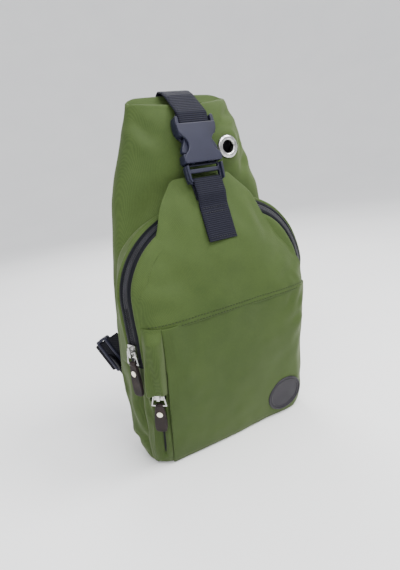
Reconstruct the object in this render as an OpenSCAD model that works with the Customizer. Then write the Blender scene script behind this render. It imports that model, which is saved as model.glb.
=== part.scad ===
// Zipped sling bag: a deep main compartment behind an arched zip, a flat front pocket, a fabric
// flap held up by a side-release buckle, a cable eyelet and one shoulder strap behind.
// Millimetres. +Z is up, the front faces -Y, and the origin is the middle of the flat base.

/* [Bag body] */
// Height of the top edge above the base
bag_h = 330; // [330:0.5:331]
// Distance from the middle to the zip arch's centre line
zip_r = 92.5; // [92:0.5:92.5]
// Height of the centre of the zip arch
arch_z = 153; // [152:0.5:154]
// Backward tilt of the zip arch above its straight legs, in degrees
arch_tilt = 9; // [8.8:0.1:9.2]
// Thickness of the outer fabric
cloth = 1.4; // [1.2:0.1:1.4]
// Height of the seam between the front pocket and the flap
seam_z = 144; // [143:0.5:145]
// Thickness of the back padding
foam_t = 9; // [7:0.5:9]

/* [Front pocket] */
// Distance of the pocket's zip from the middle
pocket_zip_x = 80.5; // [80.5:0.1:80.7]
// How far the pocket's zip turns towards the side, in degrees
pocket_zip_turn = 36; // [35.5:0.1:36.5]
// Width of the slot that the pocket's zip lies in
pocket_slot = 11; // [11:0.5:12]
// How far the pocket's front stands forward of the middle at the base
front_base = 30; // [30:0.5:31]
// How far the pocket's front stands forward of the middle at the seam
front_seam = 58; // [57.5:0.5:58.5]

/* [Webbing and buckle] */
// Width of all the webbing
web_w = 30; // [28:0.5:30]
// Thickness of the webbing
web_t = 1.4; // [1.2:0.1:1.4]
// Backward lean of the buckle, in degrees
buckle_lean = 12; // [12:0.1:12.2]

/* [Zip hardware] */
// Length of a slider
slider_l = 12; // [11:0.5:12]
// Height of the middle of the main slider at rest
main_slider_z = 128; // [127:0.5:129]
// Distance up the pocket's front of the pocket slider at rest
pocket_slider_s = 86; // [84:1:88]
// Length of a leather pull below its link
tab_l = 32; // [28:1:32]
// Width of a leather pull
tab_w = 10.6; // [10:0.1:10.6]

/* [Eyelet and patch] */
// Radius of the eyelet's hole
eyelet_r = 5.5; // [5.5:0.1:5.6]
// Outer radius of the eyelet
eyelet_rim = 10.5; // [10:0.1:11]
// Radius of the round patch
patch_r = 21; // [20:0.5:21]

/* [Shoulder strap] */
// Width of the shoulder pad
pad_w = 52; // [46:1:54]
// Thickness of the shoulder pad
pad_t = 8; // [7:0.5:8]

/* [Hidden] */

green = [0.29, 0.38, 0.16];
black = [0.05, 0.05, 0.07];
plastic = [0.12, 0.12, 0.17];
leather = [0.16, 0.12, 0.12];
metal = [0.75, 0.75, 0.74];
grey = [0.45, 0.45, 0.46];
gap = 0.3;                // clearance between sewn layers
lining_t = 0.6;
eps = 0.05;
wide = 400;               // longer than the bag in any direction

// The zip band seen from above: its front and rear edges, distance out and depth.
zip_front = [zip_r - 4.5, -47.5];
zip_rear = [zip_r + 4.5, -25];
zip_mid = (zip_front + zip_rear) / 2;
zip_turn = atan2(zip_rear[1] - zip_front[1], zip_rear[0] - zip_front[0]);
zip_band = norm(zip_rear - zip_front);
zip_end_z = 112;          // lower end of the zip's legs
arch_rise = zip_r * tan(arch_tilt);
arch_top = arch_z + zip_r;
arch_lift = 25.5 * sin(arch_tilt);      // how much the tilt raises the arch's rear edge
coil_r = 1.1;
coil_x = 1.7;             // distance of each coil from the middle of its zip
groove = 0.6;             // half the open groove between the two tapes

// Depth profiles as [height, depth] down the middle of the bag.
front = [[0, -front_base], [seam_z, -front_seam]];
crease = [[0, -14], [60, -27], [zip_end_z, -38], [seam_z, -45], [arch_z, -46.5],
    [arch_top, arch_rise - 46.5]];
shoulder = [[arch_z - 45, -25], [arch_z, -25], [arch_top, arch_rise - 26.5], [262, -19], [274, -22],
    [298, -22], [314, -18], [bag_h, -9]];
back = [[0, 18], [40, 20], [200, 19], [260, 14], [300, 7], [bag_h, 1]];
flap_line = [[seam_z, -front_seam], [172, -54], [200, -48.5], [225, -42.5], [240, -38.5],
    [250, -33.5], [257, -29.5], [264, -26]];
flap_hinge = [-54.2, 168.5];

// Half widths at each height, for the body and for the flap.
body_width = [[0, 88], [22, 94], [60, 97.5], [110, 98], [arch_z, 97.5], [200, 86], [250, 77.5],
    [285, 67], [300, 60], [316, 52.5], [bag_h, 46]];
flap_width = [[seam_z, 86], [160, 86], [172, 85], [183, 77], [195, 68.5], [211, 60], [226, 54],
    [240, 47.5], [252, 41], [260, 35], [264, 30]];
// Half width of the body at each depth, seen from above.
plan = [[-60, 83], [-47.5, 88.2], [-25, 97.2], [-5, 98], [20, 97], [34, 92]];

pocket_tilt = atan2(front_seam - front_base, seam_z);
pocket_zip_deep = 4;      // how far its plane lies behind the pocket's front
pocket_zip_from = 12;
pocket_zip_to = 134;
patch_x = 58;
patch_s = 26;
eyelet_x = 35;
eyelet_z = 286;
buckle_y = -33;
buckle_z = 274;

function mix(a, b, c, d, t) = 0.5 * (2 * b + (c - a) * t + (2 * a - 5 * b + 4 * c - d) * t * t
    + (3 * b - a - 3 * c + d) * t * t * t);
function at(p, i) = p[max(0, min(len(p) - 1, i))];
// Smooth curve through a few points, with n steps between each pair.
function smooth(p, n) = concat(
    [for (i = [0:len(p) - 2]) for (k = [0:n - 1])
        mix(at(p, i - 1), p[i], p[i + 1], at(p, i + 2), k / n)],
    [p[len(p) - 1]]);
function reversed(p) = [for (i = [len(p) - 1:-1:0]) p[i]];
function unit(v) = v / norm(v);
function normal(p, i) = let (d = unit(at(p, i + 1) - at(p, i - 1))) [d[1], -d[0]];
function level(p, z) = lookup(z, p);
// A point of the buckle's own [depth, height] frame, in the bag's frame.
function buckle_point(q) = [buckle_y + q[0] * cos(buckle_lean) + q[1] * sin(buckle_lean),
    buckle_z - q[0] * sin(buckle_lean) + q[1] * cos(buckle_lean)];

// ---- Shapes ----
// Outline in x and z of something symmetric that has these half widths.
module outline(widths, inset = 0) {
    p = smooth(widths, 2);
    polygon(concat([for (q = p) [q[1] - inset, q[0]]], [for (q = reversed(p)) [inset - q[1], q[0]]]));
}

// Outline in x and z of an arch, whose straight legs start at height from.
module arch(r, from) {
    translate([0, arch_z]) circle(r, $fn = 96);
    translate([-r, from]) square([2 * r, arch_z - from]);
}

// A shape drawn in x and z, as a prism right through the bag from front to back.
module through() {
    rotate([90, 0, 0]) linear_extrude(wide, center = true) children();
}

// The space between two depth profiles, each with a shift in depth, over the whole width.
module between(a, b, shift_a = 0, shift_b = 0) {
    near = [for (q = a) [q[1] + shift_a, q[0]]];
    far = [for (q = reversed(b)) [q[1] + shift_b, q[0]]];
    rotate([90, 0, 90]) linear_extrude(wide, center = true) polygon(concat(near, far));
}

// A layer of fabric that follows a depth profile, cut to a shape in x and z.
module layer(line, from, to) {
    intersection() {
        through() children();
        between(line, line, from, to);
    }
}

// The body's plan, as a prism right up the bag.
module plan_prism(inset = 0) {
    right = [for (q = plan) [q[1] - inset, q[0]]];
    left = [for (q = reversed(plan)) [inset - q[1], q[0]]];
    linear_extrude(wide) polygon(concat(right, left));
}

// The whole body behind the zip as a solid, moved in by an inset, open behind and in front.
module body_solid(inset) {
    intersection() {
        through() translate([0, inset]) outline(body_width, inset);
        plan_prism(inset);
    }
}

// The depth range of the body behind its front seams.
module behind_seams(front_shift, back_shift) {
    low = [for (q = crease) if (q[0] < zip_end_z - 2) q];
    intersection() {
        union() {
            between(concat(low, [[zip_end_z - 1.5, level(crease, zip_end_z - 1.5)]]),
                [[0, level(back, 0)], [40, level(back, 40)], [zip_end_z - 1.5, level(back, 110)]],
                front_shift, back_shift);
            between(concat([[zip_end_z - 1.5 - eps, -25]], [for (q = shoulder) if (q[0] >= arch_z) q]),
                concat([[zip_end_z - 1.5 - eps, level(back, 110)]], [for (q = back) if (q[0] > 120) q]),
                front_shift, back_shift);
        }
        translate([-wide / 2, -wide / 2, 0]) cube(wide);
    }
}

// A strip along a flat path drawn in depth and height, laid across the bag's width.
module ribbon(path, t, w) {
    n = len(path);
    one = [for (i = [0:n - 1]) path[i] + normal(path, i) * t / 2];
    two = [for (i = [n - 1:-1:0]) path[i] - normal(path, i) * t / 2];
    rotate([90, 0, 90]) linear_extrude(w, center = true) polygon(concat(one, two));
}

// A section drawn as [out, depth], swept up both legs of the zip and round its tilted arch.
module around_arch() {
    translate([0, 0, arch_z]) rotate([90 - arch_tilt, 0, 0])
        rotate_extrude(angle = 180, $fn = 96) mirror([0, 1]) children();
    for (side = [0, 1]) mirror([side, 0, 0])
        translate([0, 0, zip_end_z]) linear_extrude(arch_z - zip_end_z + 6) children();
}

// A section drawn as [across, inward] about the middle of the zip band.
module on_band() {
    translate(zip_mid) rotate(zip_turn) children();
}

module pocket_frame() {
    translate([0, -front_base, 0]) rotate([pocket_tilt, 0, 0]) children();
}

// A plan drawn in the pocket's leaning frame, run up the pocket's front.
module up_pocket(from, to) {
    intersection() {
        pocket_frame() translate([0, 0, -20]) linear_extrude(190) children();
        translate([-wide / 2, -wide / 2, from]) cube([wide, wide, to - from]);
    }
}

module on_main_zip(z) {
    mirror([1, 0, 0]) translate([zip_mid[0], zip_mid[1], z]) rotate([0, 0, zip_turn]) children();
}

module on_pocket_zip(s) {
    pocket_frame() translate([-pocket_zip_x, pocket_zip_deep, s])
        rotate([0, 0, -pocket_zip_turn]) children();
}

module buckle_frame() {
    translate([0, buckle_y, buckle_z]) rotate([-buckle_lean, 0, 0]) children();
}

// A shape drawn in the buckle's x and height, given a depth range.
module buckle_plate(y0, y1) {
    buckle_frame() translate([0, y1, 0]) rotate([90, 0, 0]) linear_extrude(y1 - y0) children();
}

// ---- Fabric shell ----
module rear_gusset() {
    color(green) union() {
        intersection() {
            difference() {
                body_solid(0);
                body_solid(cloth);
            }
            behind_seams(cloth + gap, 0);
        }
        intersection() {
            through() intersection() {
                outline(body_width, cloth + eps);
                translate([-wide / 2, bag_h - 1.6]) square([wide, 1.6]);
            }
            between(shoulder, back, cloth + gap, 0);
        }
    }
}

module upper_front_panel() {
    color(green) difference() {
        intersection() {
            layer(shoulder, 0, cloth) difference() {
                outline(body_width, cloth + gap);
                arch(zip_r + 4.5 + gap, 0);
                translate([0, arch_lift]) arch(zip_r + 4.5 + gap, 0);
            }
            translate([-wide / 2, -wide / 2, arch_z]) cube(wide);
        }
        translate([eyelet_x, 0, eyelet_z]) rotate([90, 0, 0]) cylinder(h = 60, r = 6.6, $fn = 48);
    }
}

module pillow(inset, from, to) {
    layer(back, from, to) intersection() {
        outline(body_width, inset);
        translate([-wide / 2, inset]) square([wide, 292 - 2 * inset]);
    }
}

module back_panel() {
    color(black) difference() {
        union() {
            intersection() {
                layer(back, gap, gap + cloth) translate([0, eps]) outline(body_width);
                plan_prism(0);
                translate([-wide / 2, -wide / 2, 0]) cube([wide, wide, bag_h]);
            }
            pillow(9, gap + cloth - eps, gap + cloth + foam_t + 2);
        }
        pillow(10.2, gap + cloth, gap + 2 * cloth + foam_t - 0.8);
    }
}

module back_foam() {
    color(grey) pillow(10.6, gap + cloth + 0.3, gap + cloth + 0.3 + foam_t - 0.4);
}

module main_lining() {
    color(grey) intersection() {
        difference() {
            body_solid(cloth + gap);
            difference() {
                body_solid(cloth + gap + lining_t);
                between(back, back, -gap - lining_t, wide / 2);
            }
        }
        behind_seams(3, -gap);
        translate([-wide / 2, -wide / 2, 0]) cube([wide, wide, bag_h - 2.2]);
    }
}

module slip_pocket() {
    color(grey) difference() {
        layer(back, -4.4, -gap - lining_t - 0.2) translate([-62, 55]) square([124, 125]);
        layer(back, -3.6, 0) translate([-60.5, 57]) square([121, 130]);
    }
}

module base_board() {
    color(black) translate([-80, -9, 2.8]) cube([160, 22, 2]);
}

module door_lining() {
    color(grey) layer(crease, cloth + gap, cloth + gap + lining_t) arch(zip_r - 9, 6);
}

module dome_panel() {
    color(green) difference() {
        union() {
            layer(crease, 0, cloth) arch(zip_r - 5.4, 1.8);
            intersection() {
                layer(crease, -0.4, 0 - 0.4 + cloth) translate([0, 1.8]) outline(body_width, 0.5);
                plan_prism(0.5);
                translate([-wide / 2, -wide / 2, 1.8]) cube([wide, wide, zip_end_z - 6]);
            }
        }
        between(crease, crease, -5, -0.4);
    }
}

module pocket_gusset() {
    color(green) {
        for (side = [0, 1]) mirror([side, 0, 0]) intersection() {
            translate([85.4, -wide / 2, 0]) cube([cloth, wide, seam_z - 0.3]);
            between(front, [for (q = crease) if (q[0] <= seam_z) q], 9.8, -0.8);
        }
        intersection() {
            translate([-79, -wide / 2, 0]) cube([158, wide, cloth]);
            between(front, [[0, -14], [seam_z, -45]], 2.2, -0.8);
        }
    }
}

module pocket_panel() {
    color(green) up_pocket(0, seam_z - gap)
        polygon([[-75, 0], [80, 0], [86.8, 8.6], [85.4, 9.2], [79.2, cloth], [-75, cloth]]);
}

module pocket_side_strip() {
    color(green) up_pocket(0, seam_z - gap)
        polygon([[-85.2, 7.4], [-86.8, 8.7], [-86.8, 9.6], [-85.4, 9.6], [-84.6, 8.2]]);
}

module pocket_lining() {
    color(grey) up_pocket(3, seam_z - 3)
        translate([-66, cloth + gap]) square([142, lining_t]);
}

module flap_base() {
    color(green) {
        layer(flap_line, 0, cloth) translate([-86, seam_z]) square([172, flap_hinge[1] - seam_z - 0.5]);
        for (side = [0, 1]) mirror([side, 0, 0]) intersection() {
            translate([86 - cloth, -wide / 2, seam_z]) cube([cloth, wide, flap_hinge[1] - seam_z - 0.5]);
            between(flap_line, crease, 0.2, -0.4);
        }
    }
}

module flap_shape(inset) {
    intersection() {
        outline(flap_width, inset);
        translate([-wide / 2, flap_hinge[1] + 0.3]) square([wide, wide]);
    }
}

module flap_panel() {
    color(green) layer(flap_line, 0, cloth) flap_shape(0);
}

module flap_lining() {
    color(grey) layer(flap_line, cloth + 0.2, cloth + 0.2 + lining_t) intersection() {
        flap_shape(4);
        translate([-wide / 2, 0]) square([wide, arch_top - 5]);
    }
}

// ---- Main zip ----
module main_zip_outer_tape() {
    color(black) around_arch() on_band()
        translate([groove, 0]) square([zip_band / 2 - groove - gap, 1]);
}

module main_zip_inner_tape() {
    color(black) around_arch() on_band()
        translate([-zip_band / 2 + gap, 0]) square([zip_band / 2 - groove - gap, 1]);
}

module main_zip_outer_coil() {
    color(black) around_arch() on_band() translate([coil_x, -coil_r - 0.1]) circle(coil_r, $fn = 16);
}

module main_zip_inner_coil() {
    color(black) around_arch() on_band() translate([-coil_x, -coil_r - 0.1]) circle(coil_r, $fn = 16);
}

module zip_stop() {
    translate([-2.9, -2.9, 0]) cube([5.8, 0.6, 3]);
    for (side = [-1, 1]) translate([side * 3.3 - 0.4, -2.9, 0]) cube([0.8, 2.7, 3]);
}

module main_zip_stops() {
    color(metal) {
        on_main_zip(zip_end_z + 4) zip_stop();
        mirror([1, 0, 0]) on_main_zip(zip_end_z + 4) zip_stop();
    }
}

// ---- Slider, link, leather pull and rivet, with -Y outward and +Z along the zip ----
link_y = -5.3;            // depth of the link's plane
link_top = 4.4;           // half length of the link's top bar
link_low = 6.4;           // half length of its lower bar
link_h = 11;
wire_r = 0.7;

module slider_shape() {
    half = slider_l / 2;
    translate([-4.6, -4.1, -half]) cube([9.2, 1.5, slider_l]);
    for (side = [-1, 1]) translate([side * 4.1 - 0.5, -2.7, -half]) cube([1, 2.3, slider_l]);
    translate([-0.3, -2.7, -half + 1]) cube([0.6, 5.2, slider_l - 2]);
    translate([-4.4, 1.35, -half]) cube([8.8, 1.2, slider_l]);
    for (z = [-3.6, 3.6]) translate([-1.3, -6.6, z - 0.8]) cube([2.6, 2.6, 1.6]);
    translate([-1.3, -7.7, -4.4]) cube([2.6, 1.2, 8.8]);
}

module rod(a, b) {
    d = b - a;
    translate(a) rotate([0, acos(d[2] / norm(d)), atan2(d[1], d[0])])
        cylinder(h = norm(d), r = wire_r, $fn = 24);
}

module link_shape() {
    corners = [[-link_top, link_y, 0], [link_top, link_y, 0], [link_low, link_y, -link_h],
        [-link_low, link_y, -link_h]];
    for (i = [0:3]) {
        rod(corners[i], corners[(i + 1) % 4]);
        translate(corners[i]) sphere(wire_r, $fn = 24);
    }
}

module tab_shape() {
    difference() {
        intersection() {
            translate([0, link_y, -link_h]) rotate([90, 0, 90])
                linear_extrude(tab_w, center = true) difference() {
                    union() {
                        circle(2.35, $fn = 32);
                        translate([-1.3, -tab_l]) square([2.6, tab_l - 1]);
                    }
                    circle(1.05, $fn = 32);
                }
            translate([0, 0, -link_h]) rotate([90, 0, 0]) linear_extrude(40, center = true) union() {
                translate([-tab_w / 2, -tab_l + 3]) square([tab_w, tab_l]);
                translate([0, -tab_l + 5.2]) circle(tab_w / 2 - eps, $fn = 48);
            }
        }
        translate([0, link_y, -link_h - 9]) rotate([90, 0, 0]) cylinder(h = 8, r = 1.6, center = true, $fn = 32);
    }
}

module rivet_shape() {
    translate([0, link_y, -link_h - 9]) rotate([90, 0, 0]) {
        cylinder(h = 3.2, r = 1.5, center = true, $fn = 32);
        for (z = [1.35, -2.05]) translate([0, 0, z]) cylinder(h = 0.7, r = 2.7, $fn = 32);
    }
}

module main_slider() {
    color(metal) on_main_zip(main_slider_z) slider_shape();
}

module main_pull_link() {
    color(metal) on_main_zip(main_slider_z) link_shape();
}

module main_pull_tab() {
    color(leather) on_main_zip(main_slider_z) tab_shape();
}

module main_pull_rivet() {
    color(metal) on_main_zip(main_slider_z) rivet_shape();
}

// ---- Pocket zip ----
module pocket_strip(from, to, low, high) {
    on_pocket_zip(pocket_zip_from)
        translate([from, low, 0]) cube([to - from, high - low, pocket_zip_to - pocket_zip_from]);
}

module pocket_zip_outer_tape() {
    color(black) pocket_strip(-pocket_slot / 2 + gap, -groove, 0, 1);
}

module pocket_zip_inner_tape() {
    color(black) pocket_strip(groove, pocket_slot / 2 - gap, 0, 1);
}

module pocket_coil(side) {
    on_pocket_zip(pocket_zip_from) translate([side * coil_x, -coil_r - eps, 0])
        cylinder(h = pocket_zip_to - pocket_zip_from, r = coil_r, $fn = 24);
}

module pocket_zip_outer_coil() {
    color(black) pocket_coil(-1);
}

module pocket_zip_inner_coil() {
    color(black) pocket_coil(1);
}

module pocket_zip_stops() {
    color(metal) {
        on_pocket_zip(pocket_zip_from + 2) zip_stop();
        on_pocket_zip(pocket_zip_to - 3.5) zip_stop();
    }
}

module pocket_slider() {
    color(metal) on_pocket_zip(pocket_slider_s) slider_shape();
}

module pocket_pull_link() {
    color(metal) on_pocket_zip(pocket_slider_s) link_shape();
}

module pocket_pull_tab() {
    color(leather) on_pocket_zip(pocket_slider_s) tab_shape();
}

module pocket_pull_rivet() {
    color(metal) on_pocket_zip(pocket_slider_s) rivet_shape();
}

// ---- Buckle and webbing ----
module buckle_socket() {
    widths = [[0, 18.4], [8, 17.6], [15, 17.3], [22, 17.6], [30, 19.2], [37, 19.5]];
    slot = web_w + 1.2;
    color(plastic) difference() {
        buckle_plate(-5.5, 5.5) outline(widths);
        buckle_plate(-3.1, 3.1) translate([-15.5, -1]) square([31, 26]);
        buckle_plate(-3.1, 3.1) translate([-25, 9]) square([50, 12.5]);
        buckle_plate(-10, 10) translate([-slot / 2, 28]) square([slot, 5]);
        buckle_plate(-10, 10) translate([-slot / 2, 36]) square([slot, 5]);
        for (y = [-10, 1.4]) buckle_plate(y, y + 8.6)
            translate([-slot / 2, 28]) square([slot, 20]);
    }
}

module buckle_plug() {
    slot = web_w + 1.2;
    color(plastic) difference() {
        buckle_plate(-5, 5) translate([-18.2, -17]) square([36.4, 16.5]);
        buckle_plate(-10, 10) translate([-slot / 2, -13.5]) square([slot, 6.5]);
        buckle_plate(-10, 10) translate([-slot / 2, -20]) square([slot, 3.5]);
        for (y = [-10, 1.4]) buckle_plate(y, y + 8.6)
            translate([-slot / 2, -20]) square([slot, 13]);
    }
}

module latch_arm() {
    color(plastic) buckle_plate(-2.6, 2.6)
        polygon([[7.6, 0], [11.2, 0], [12, 9.6], [18.4, 9.6], [17.4, 14], [13.6, 21], [12.4, 24],
            [9.4, 24], [8.6, 12]]);
}

module latch_arm_left() {
    mirror([1, 0, 0]) latch_arm();
}

module latch_arm_right() {
    latch_arm();
}

module top_webbing() {
    turn = [for (a = [180:30:360]) buckle_point([3 * cos(a), 34.5 + 3 * sin(a)])];
    path = concat([[level(back, 311) + 2.9, 311], [level(back, 322) + 3, 322], [4.7, 329.5],
        [1.5, 332], [-3.5, 332.4], [-9.5, 331.9], [-17.5, 323.5]], [buckle_point([-2.3, 42])], turn,
        [buckle_point([0.4, 41])]);
    color(black) ribbon(path, web_t, web_w);
}

module flap_webbing() {
    turn = [for (a = [180:-30:0]) buckle_point([2.9 * cos(a), -15 + 2.9 * sin(a)])];
    path = concat([for (z = [208, 225, 238]) [level(flap_line, z) - 1.1, z]],
        [buckle_point([-3, -21])], turn, [buckle_point([1.6, -22])]);
    color(black) ribbon(path, web_t, web_w);
}

// ---- Eyelet and patch ----
module eyelet() {
    color(metal) translate([eyelet_x, level(shoulder, eyelet_z), eyelet_z]) rotate([90, 0, 0])
        rotate_extrude($fn = 64) polygon([[eyelet_r, -3.4], [6.3, -3.4], [6.3, 0.1],
            [eyelet_rim - 0.4, 0.1], [eyelet_rim, 0.6], [eyelet_rim - 1, 1.5], [7, 1.9],
            [eyelet_r, 1.4]]);
}

module eyelet_washer() {
    color(metal) translate([eyelet_x, level(shoulder, eyelet_z) + cloth + 0.1, eyelet_z])
        rotate([-90, 0, 0]) difference() {
            cylinder(h = 1, r = 9.5, $fn = 64);
            translate([0, 0, -1]) cylinder(h = 3, r = 6.4, $fn = 64);
        }
}

module round_patch() {
    r = patch_r;
    color(plastic) pocket_frame() translate([patch_x, -0.1, patch_s]) rotate([90, 0, 0])
        rotate_extrude($fn = 96) polygon([[0, 0], [r, 0], [r, 1.6], [r - 1, 2.2], [r - 2, 1.6],
            [r - 2.6, 1.4], [r - 3.4, 2], [r - 4.2, 1.4], [5, 1.2], [3.6, 1.9], [0, 1.9]]);
}

// ---- Shoulder strap ----
pad_path = smooth([[11.6, 303], [22, 314], [38, 310], [50, 290], [54, 255], [52, 210], [48, 172]], 4);
web_x = 48;               // depth of the straight webbing below the pad

module strap_pad() {
    color(black) ribbon(pad_path, pad_t, pad_w);
}

// One cross-section of the webbing: its middle, its turn about Z and its lean about Y.
module web_cut(p, turn, lean) {
    translate(p) rotate([0, lean, 0]) rotate([0, 0, turn]) cube([web_w, web_t, 0.4], center = true);
}

module strap_webbing() {
    color(black) {
        translate([-web_w / 2, web_x - web_t / 2, 104]) cube([web_w, web_t, 67.5]);
        hull() { web_cut([0, 48, 104], 0, 0); web_cut([-1, 50, 80], 45, 2); }
        hull() { web_cut([-1, 50, 80], 45, 2); web_cut([-5, 52, 56], 90, 12); }
        hull() { web_cut([-5, 52, 56], 90, 12); web_cut([-20, 52, 26], 90, 45); }
        hull() { web_cut([-20, 52, 26], 90, 45); web_cut([-46, 52, 14], 90, 90); }
        hull() { web_cut([-46, 52, 14], 90, 90); web_cut([-72, 52, 24], 90, 130); }
        hull() { web_cut([-72, 52, 24], 90, 130); web_cut([-92, 51, 52], 90, 155); }
        hull() { web_cut([-92, 51, 52], 90, 155); web_cut([-104, 32, 84], 90, 178); }
    }
}

// The strap's lower end: a loop of webbing, a bar frame and the sewn tab above it.
module loop_profile(up) {
    difference() {
        union() {
            circle(3.5, $fn = 32);
            mirror([0, up ? 0 : 1]) translate([-1.5, 2]) square([3, 22]);
        }
        circle(2.1, $fn = 32);
    }
}

module side_tab() {
    color(black) translate([-104, 32, 98.5]) rotate([90, 0, 0]) linear_extrude(web_w, center = true) {
        loop_profile(true);
        translate([-1.5, 21]) square([7, 3]);
    }
}

module strap_ring() {
    color(plastic) translate([-104, 32, 86]) rotate([90, 0, 0]) {
        for (z = [0, 12.5]) translate([0, z]) cylinder(h = 38, r = 1.8, center = true, $fn = 32);
        for (side = [-1, 1]) translate([-2, -2, side * 17.5 - 1.5]) cube([4, 16.5, 3]);
    }
}

module strap_slider() {
    color(plastic) translate([0, web_x, 146]) difference() {
        translate([-19, -3, -9]) cube([38, 6, 18]);
        translate([-web_w / 2 - 0.5, -1.2, -20]) cube([web_w + 1, 2.4, 40]);
        for (z = [-5.5, 1.5]) translate([-web_w / 2 - 0.5, -10, z]) cube([web_w + 1, 9.4, 4]);
    }
}

rear_gusset();
upper_front_panel();
back_panel();
back_foam();
main_lining();
slip_pocket();
base_board();
door_lining();
dome_panel();
pocket_gusset();
pocket_panel();
pocket_side_strip();
pocket_lining();
flap_base();
flap_panel();
flap_lining();
main_zip_outer_tape();
main_zip_inner_tape();
main_zip_outer_coil();
main_zip_inner_coil();
main_zip_stops();
main_slider();
main_pull_link();
main_pull_tab();
main_pull_rivet();
pocket_zip_outer_tape();
pocket_zip_inner_tape();
pocket_zip_outer_coil();
pocket_zip_inner_coil();
pocket_zip_stops();
pocket_slider();
pocket_pull_link();
pocket_pull_tab();
pocket_pull_rivet();
buckle_socket();
buckle_plug();
latch_arm_left();
latch_arm_right();
top_webbing();
flap_webbing();
eyelet();
eyelet_washer();
round_patch();
strap_pad();
strap_webbing();
side_tab();
strap_ring();
strap_slider();
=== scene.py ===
import bpy
import bmesh
import math
import numpy as np
from mathutils import Matrix, Vector, noise


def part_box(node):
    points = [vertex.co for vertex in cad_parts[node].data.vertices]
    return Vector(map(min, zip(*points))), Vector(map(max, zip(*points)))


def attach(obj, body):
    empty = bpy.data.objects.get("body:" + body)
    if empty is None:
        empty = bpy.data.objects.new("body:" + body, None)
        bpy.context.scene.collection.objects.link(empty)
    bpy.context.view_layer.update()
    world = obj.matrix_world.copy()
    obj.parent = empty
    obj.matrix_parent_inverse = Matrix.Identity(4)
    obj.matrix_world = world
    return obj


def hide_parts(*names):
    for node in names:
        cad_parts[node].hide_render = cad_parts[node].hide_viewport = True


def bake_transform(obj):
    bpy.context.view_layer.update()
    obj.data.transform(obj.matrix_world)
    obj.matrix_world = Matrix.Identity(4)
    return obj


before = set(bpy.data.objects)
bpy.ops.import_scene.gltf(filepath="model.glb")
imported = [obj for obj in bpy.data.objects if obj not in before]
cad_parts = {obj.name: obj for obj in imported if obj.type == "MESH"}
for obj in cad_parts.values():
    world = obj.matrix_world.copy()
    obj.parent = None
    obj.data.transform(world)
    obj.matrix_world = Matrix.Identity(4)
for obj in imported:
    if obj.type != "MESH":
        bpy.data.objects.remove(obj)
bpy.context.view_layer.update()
MM = 0.001


def linked(name, data):
    """A new object in the scene."""
    obj = bpy.data.objects.new(name, data)
    bpy.context.scene.collection.objects.link(obj)
    return obj


# ---------------------------------------------------------------- camera
camera_turn = math.radians(-26.924)
camera_rise = math.radians(14.606)
camera_roll = math.radians(-8.481)
camera_place = Vector((-189.6, -366.9, 264.9)) * MM
camera_lens = 26.52


def make_camera():
    back = Vector((math.sin(camera_turn) * math.cos(camera_rise),
                   -math.cos(camera_turn) * math.cos(camera_rise),
                   math.sin(camera_rise)))
    right = Vector((math.cos(camera_turn), math.sin(camera_turn), 0))
    up = back.cross(right)
    right_rolled = right * math.cos(camera_roll) + up * math.sin(camera_roll)
    up_rolled = up * math.cos(camera_roll) - right * math.sin(camera_roll)
    data = bpy.data.cameras.new("camera")
    data.lens = camera_lens
    data.sensor_width = 36
    data.clip_start = 0.01
    camera = linked("camera", data)
    turn = Matrix((right_rolled, up_rolled, back)).transposed().to_4x4()
    camera.matrix_world = Matrix.Translation(camera_place) @ turn
    bpy.context.scene.camera = camera


make_camera()


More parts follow.
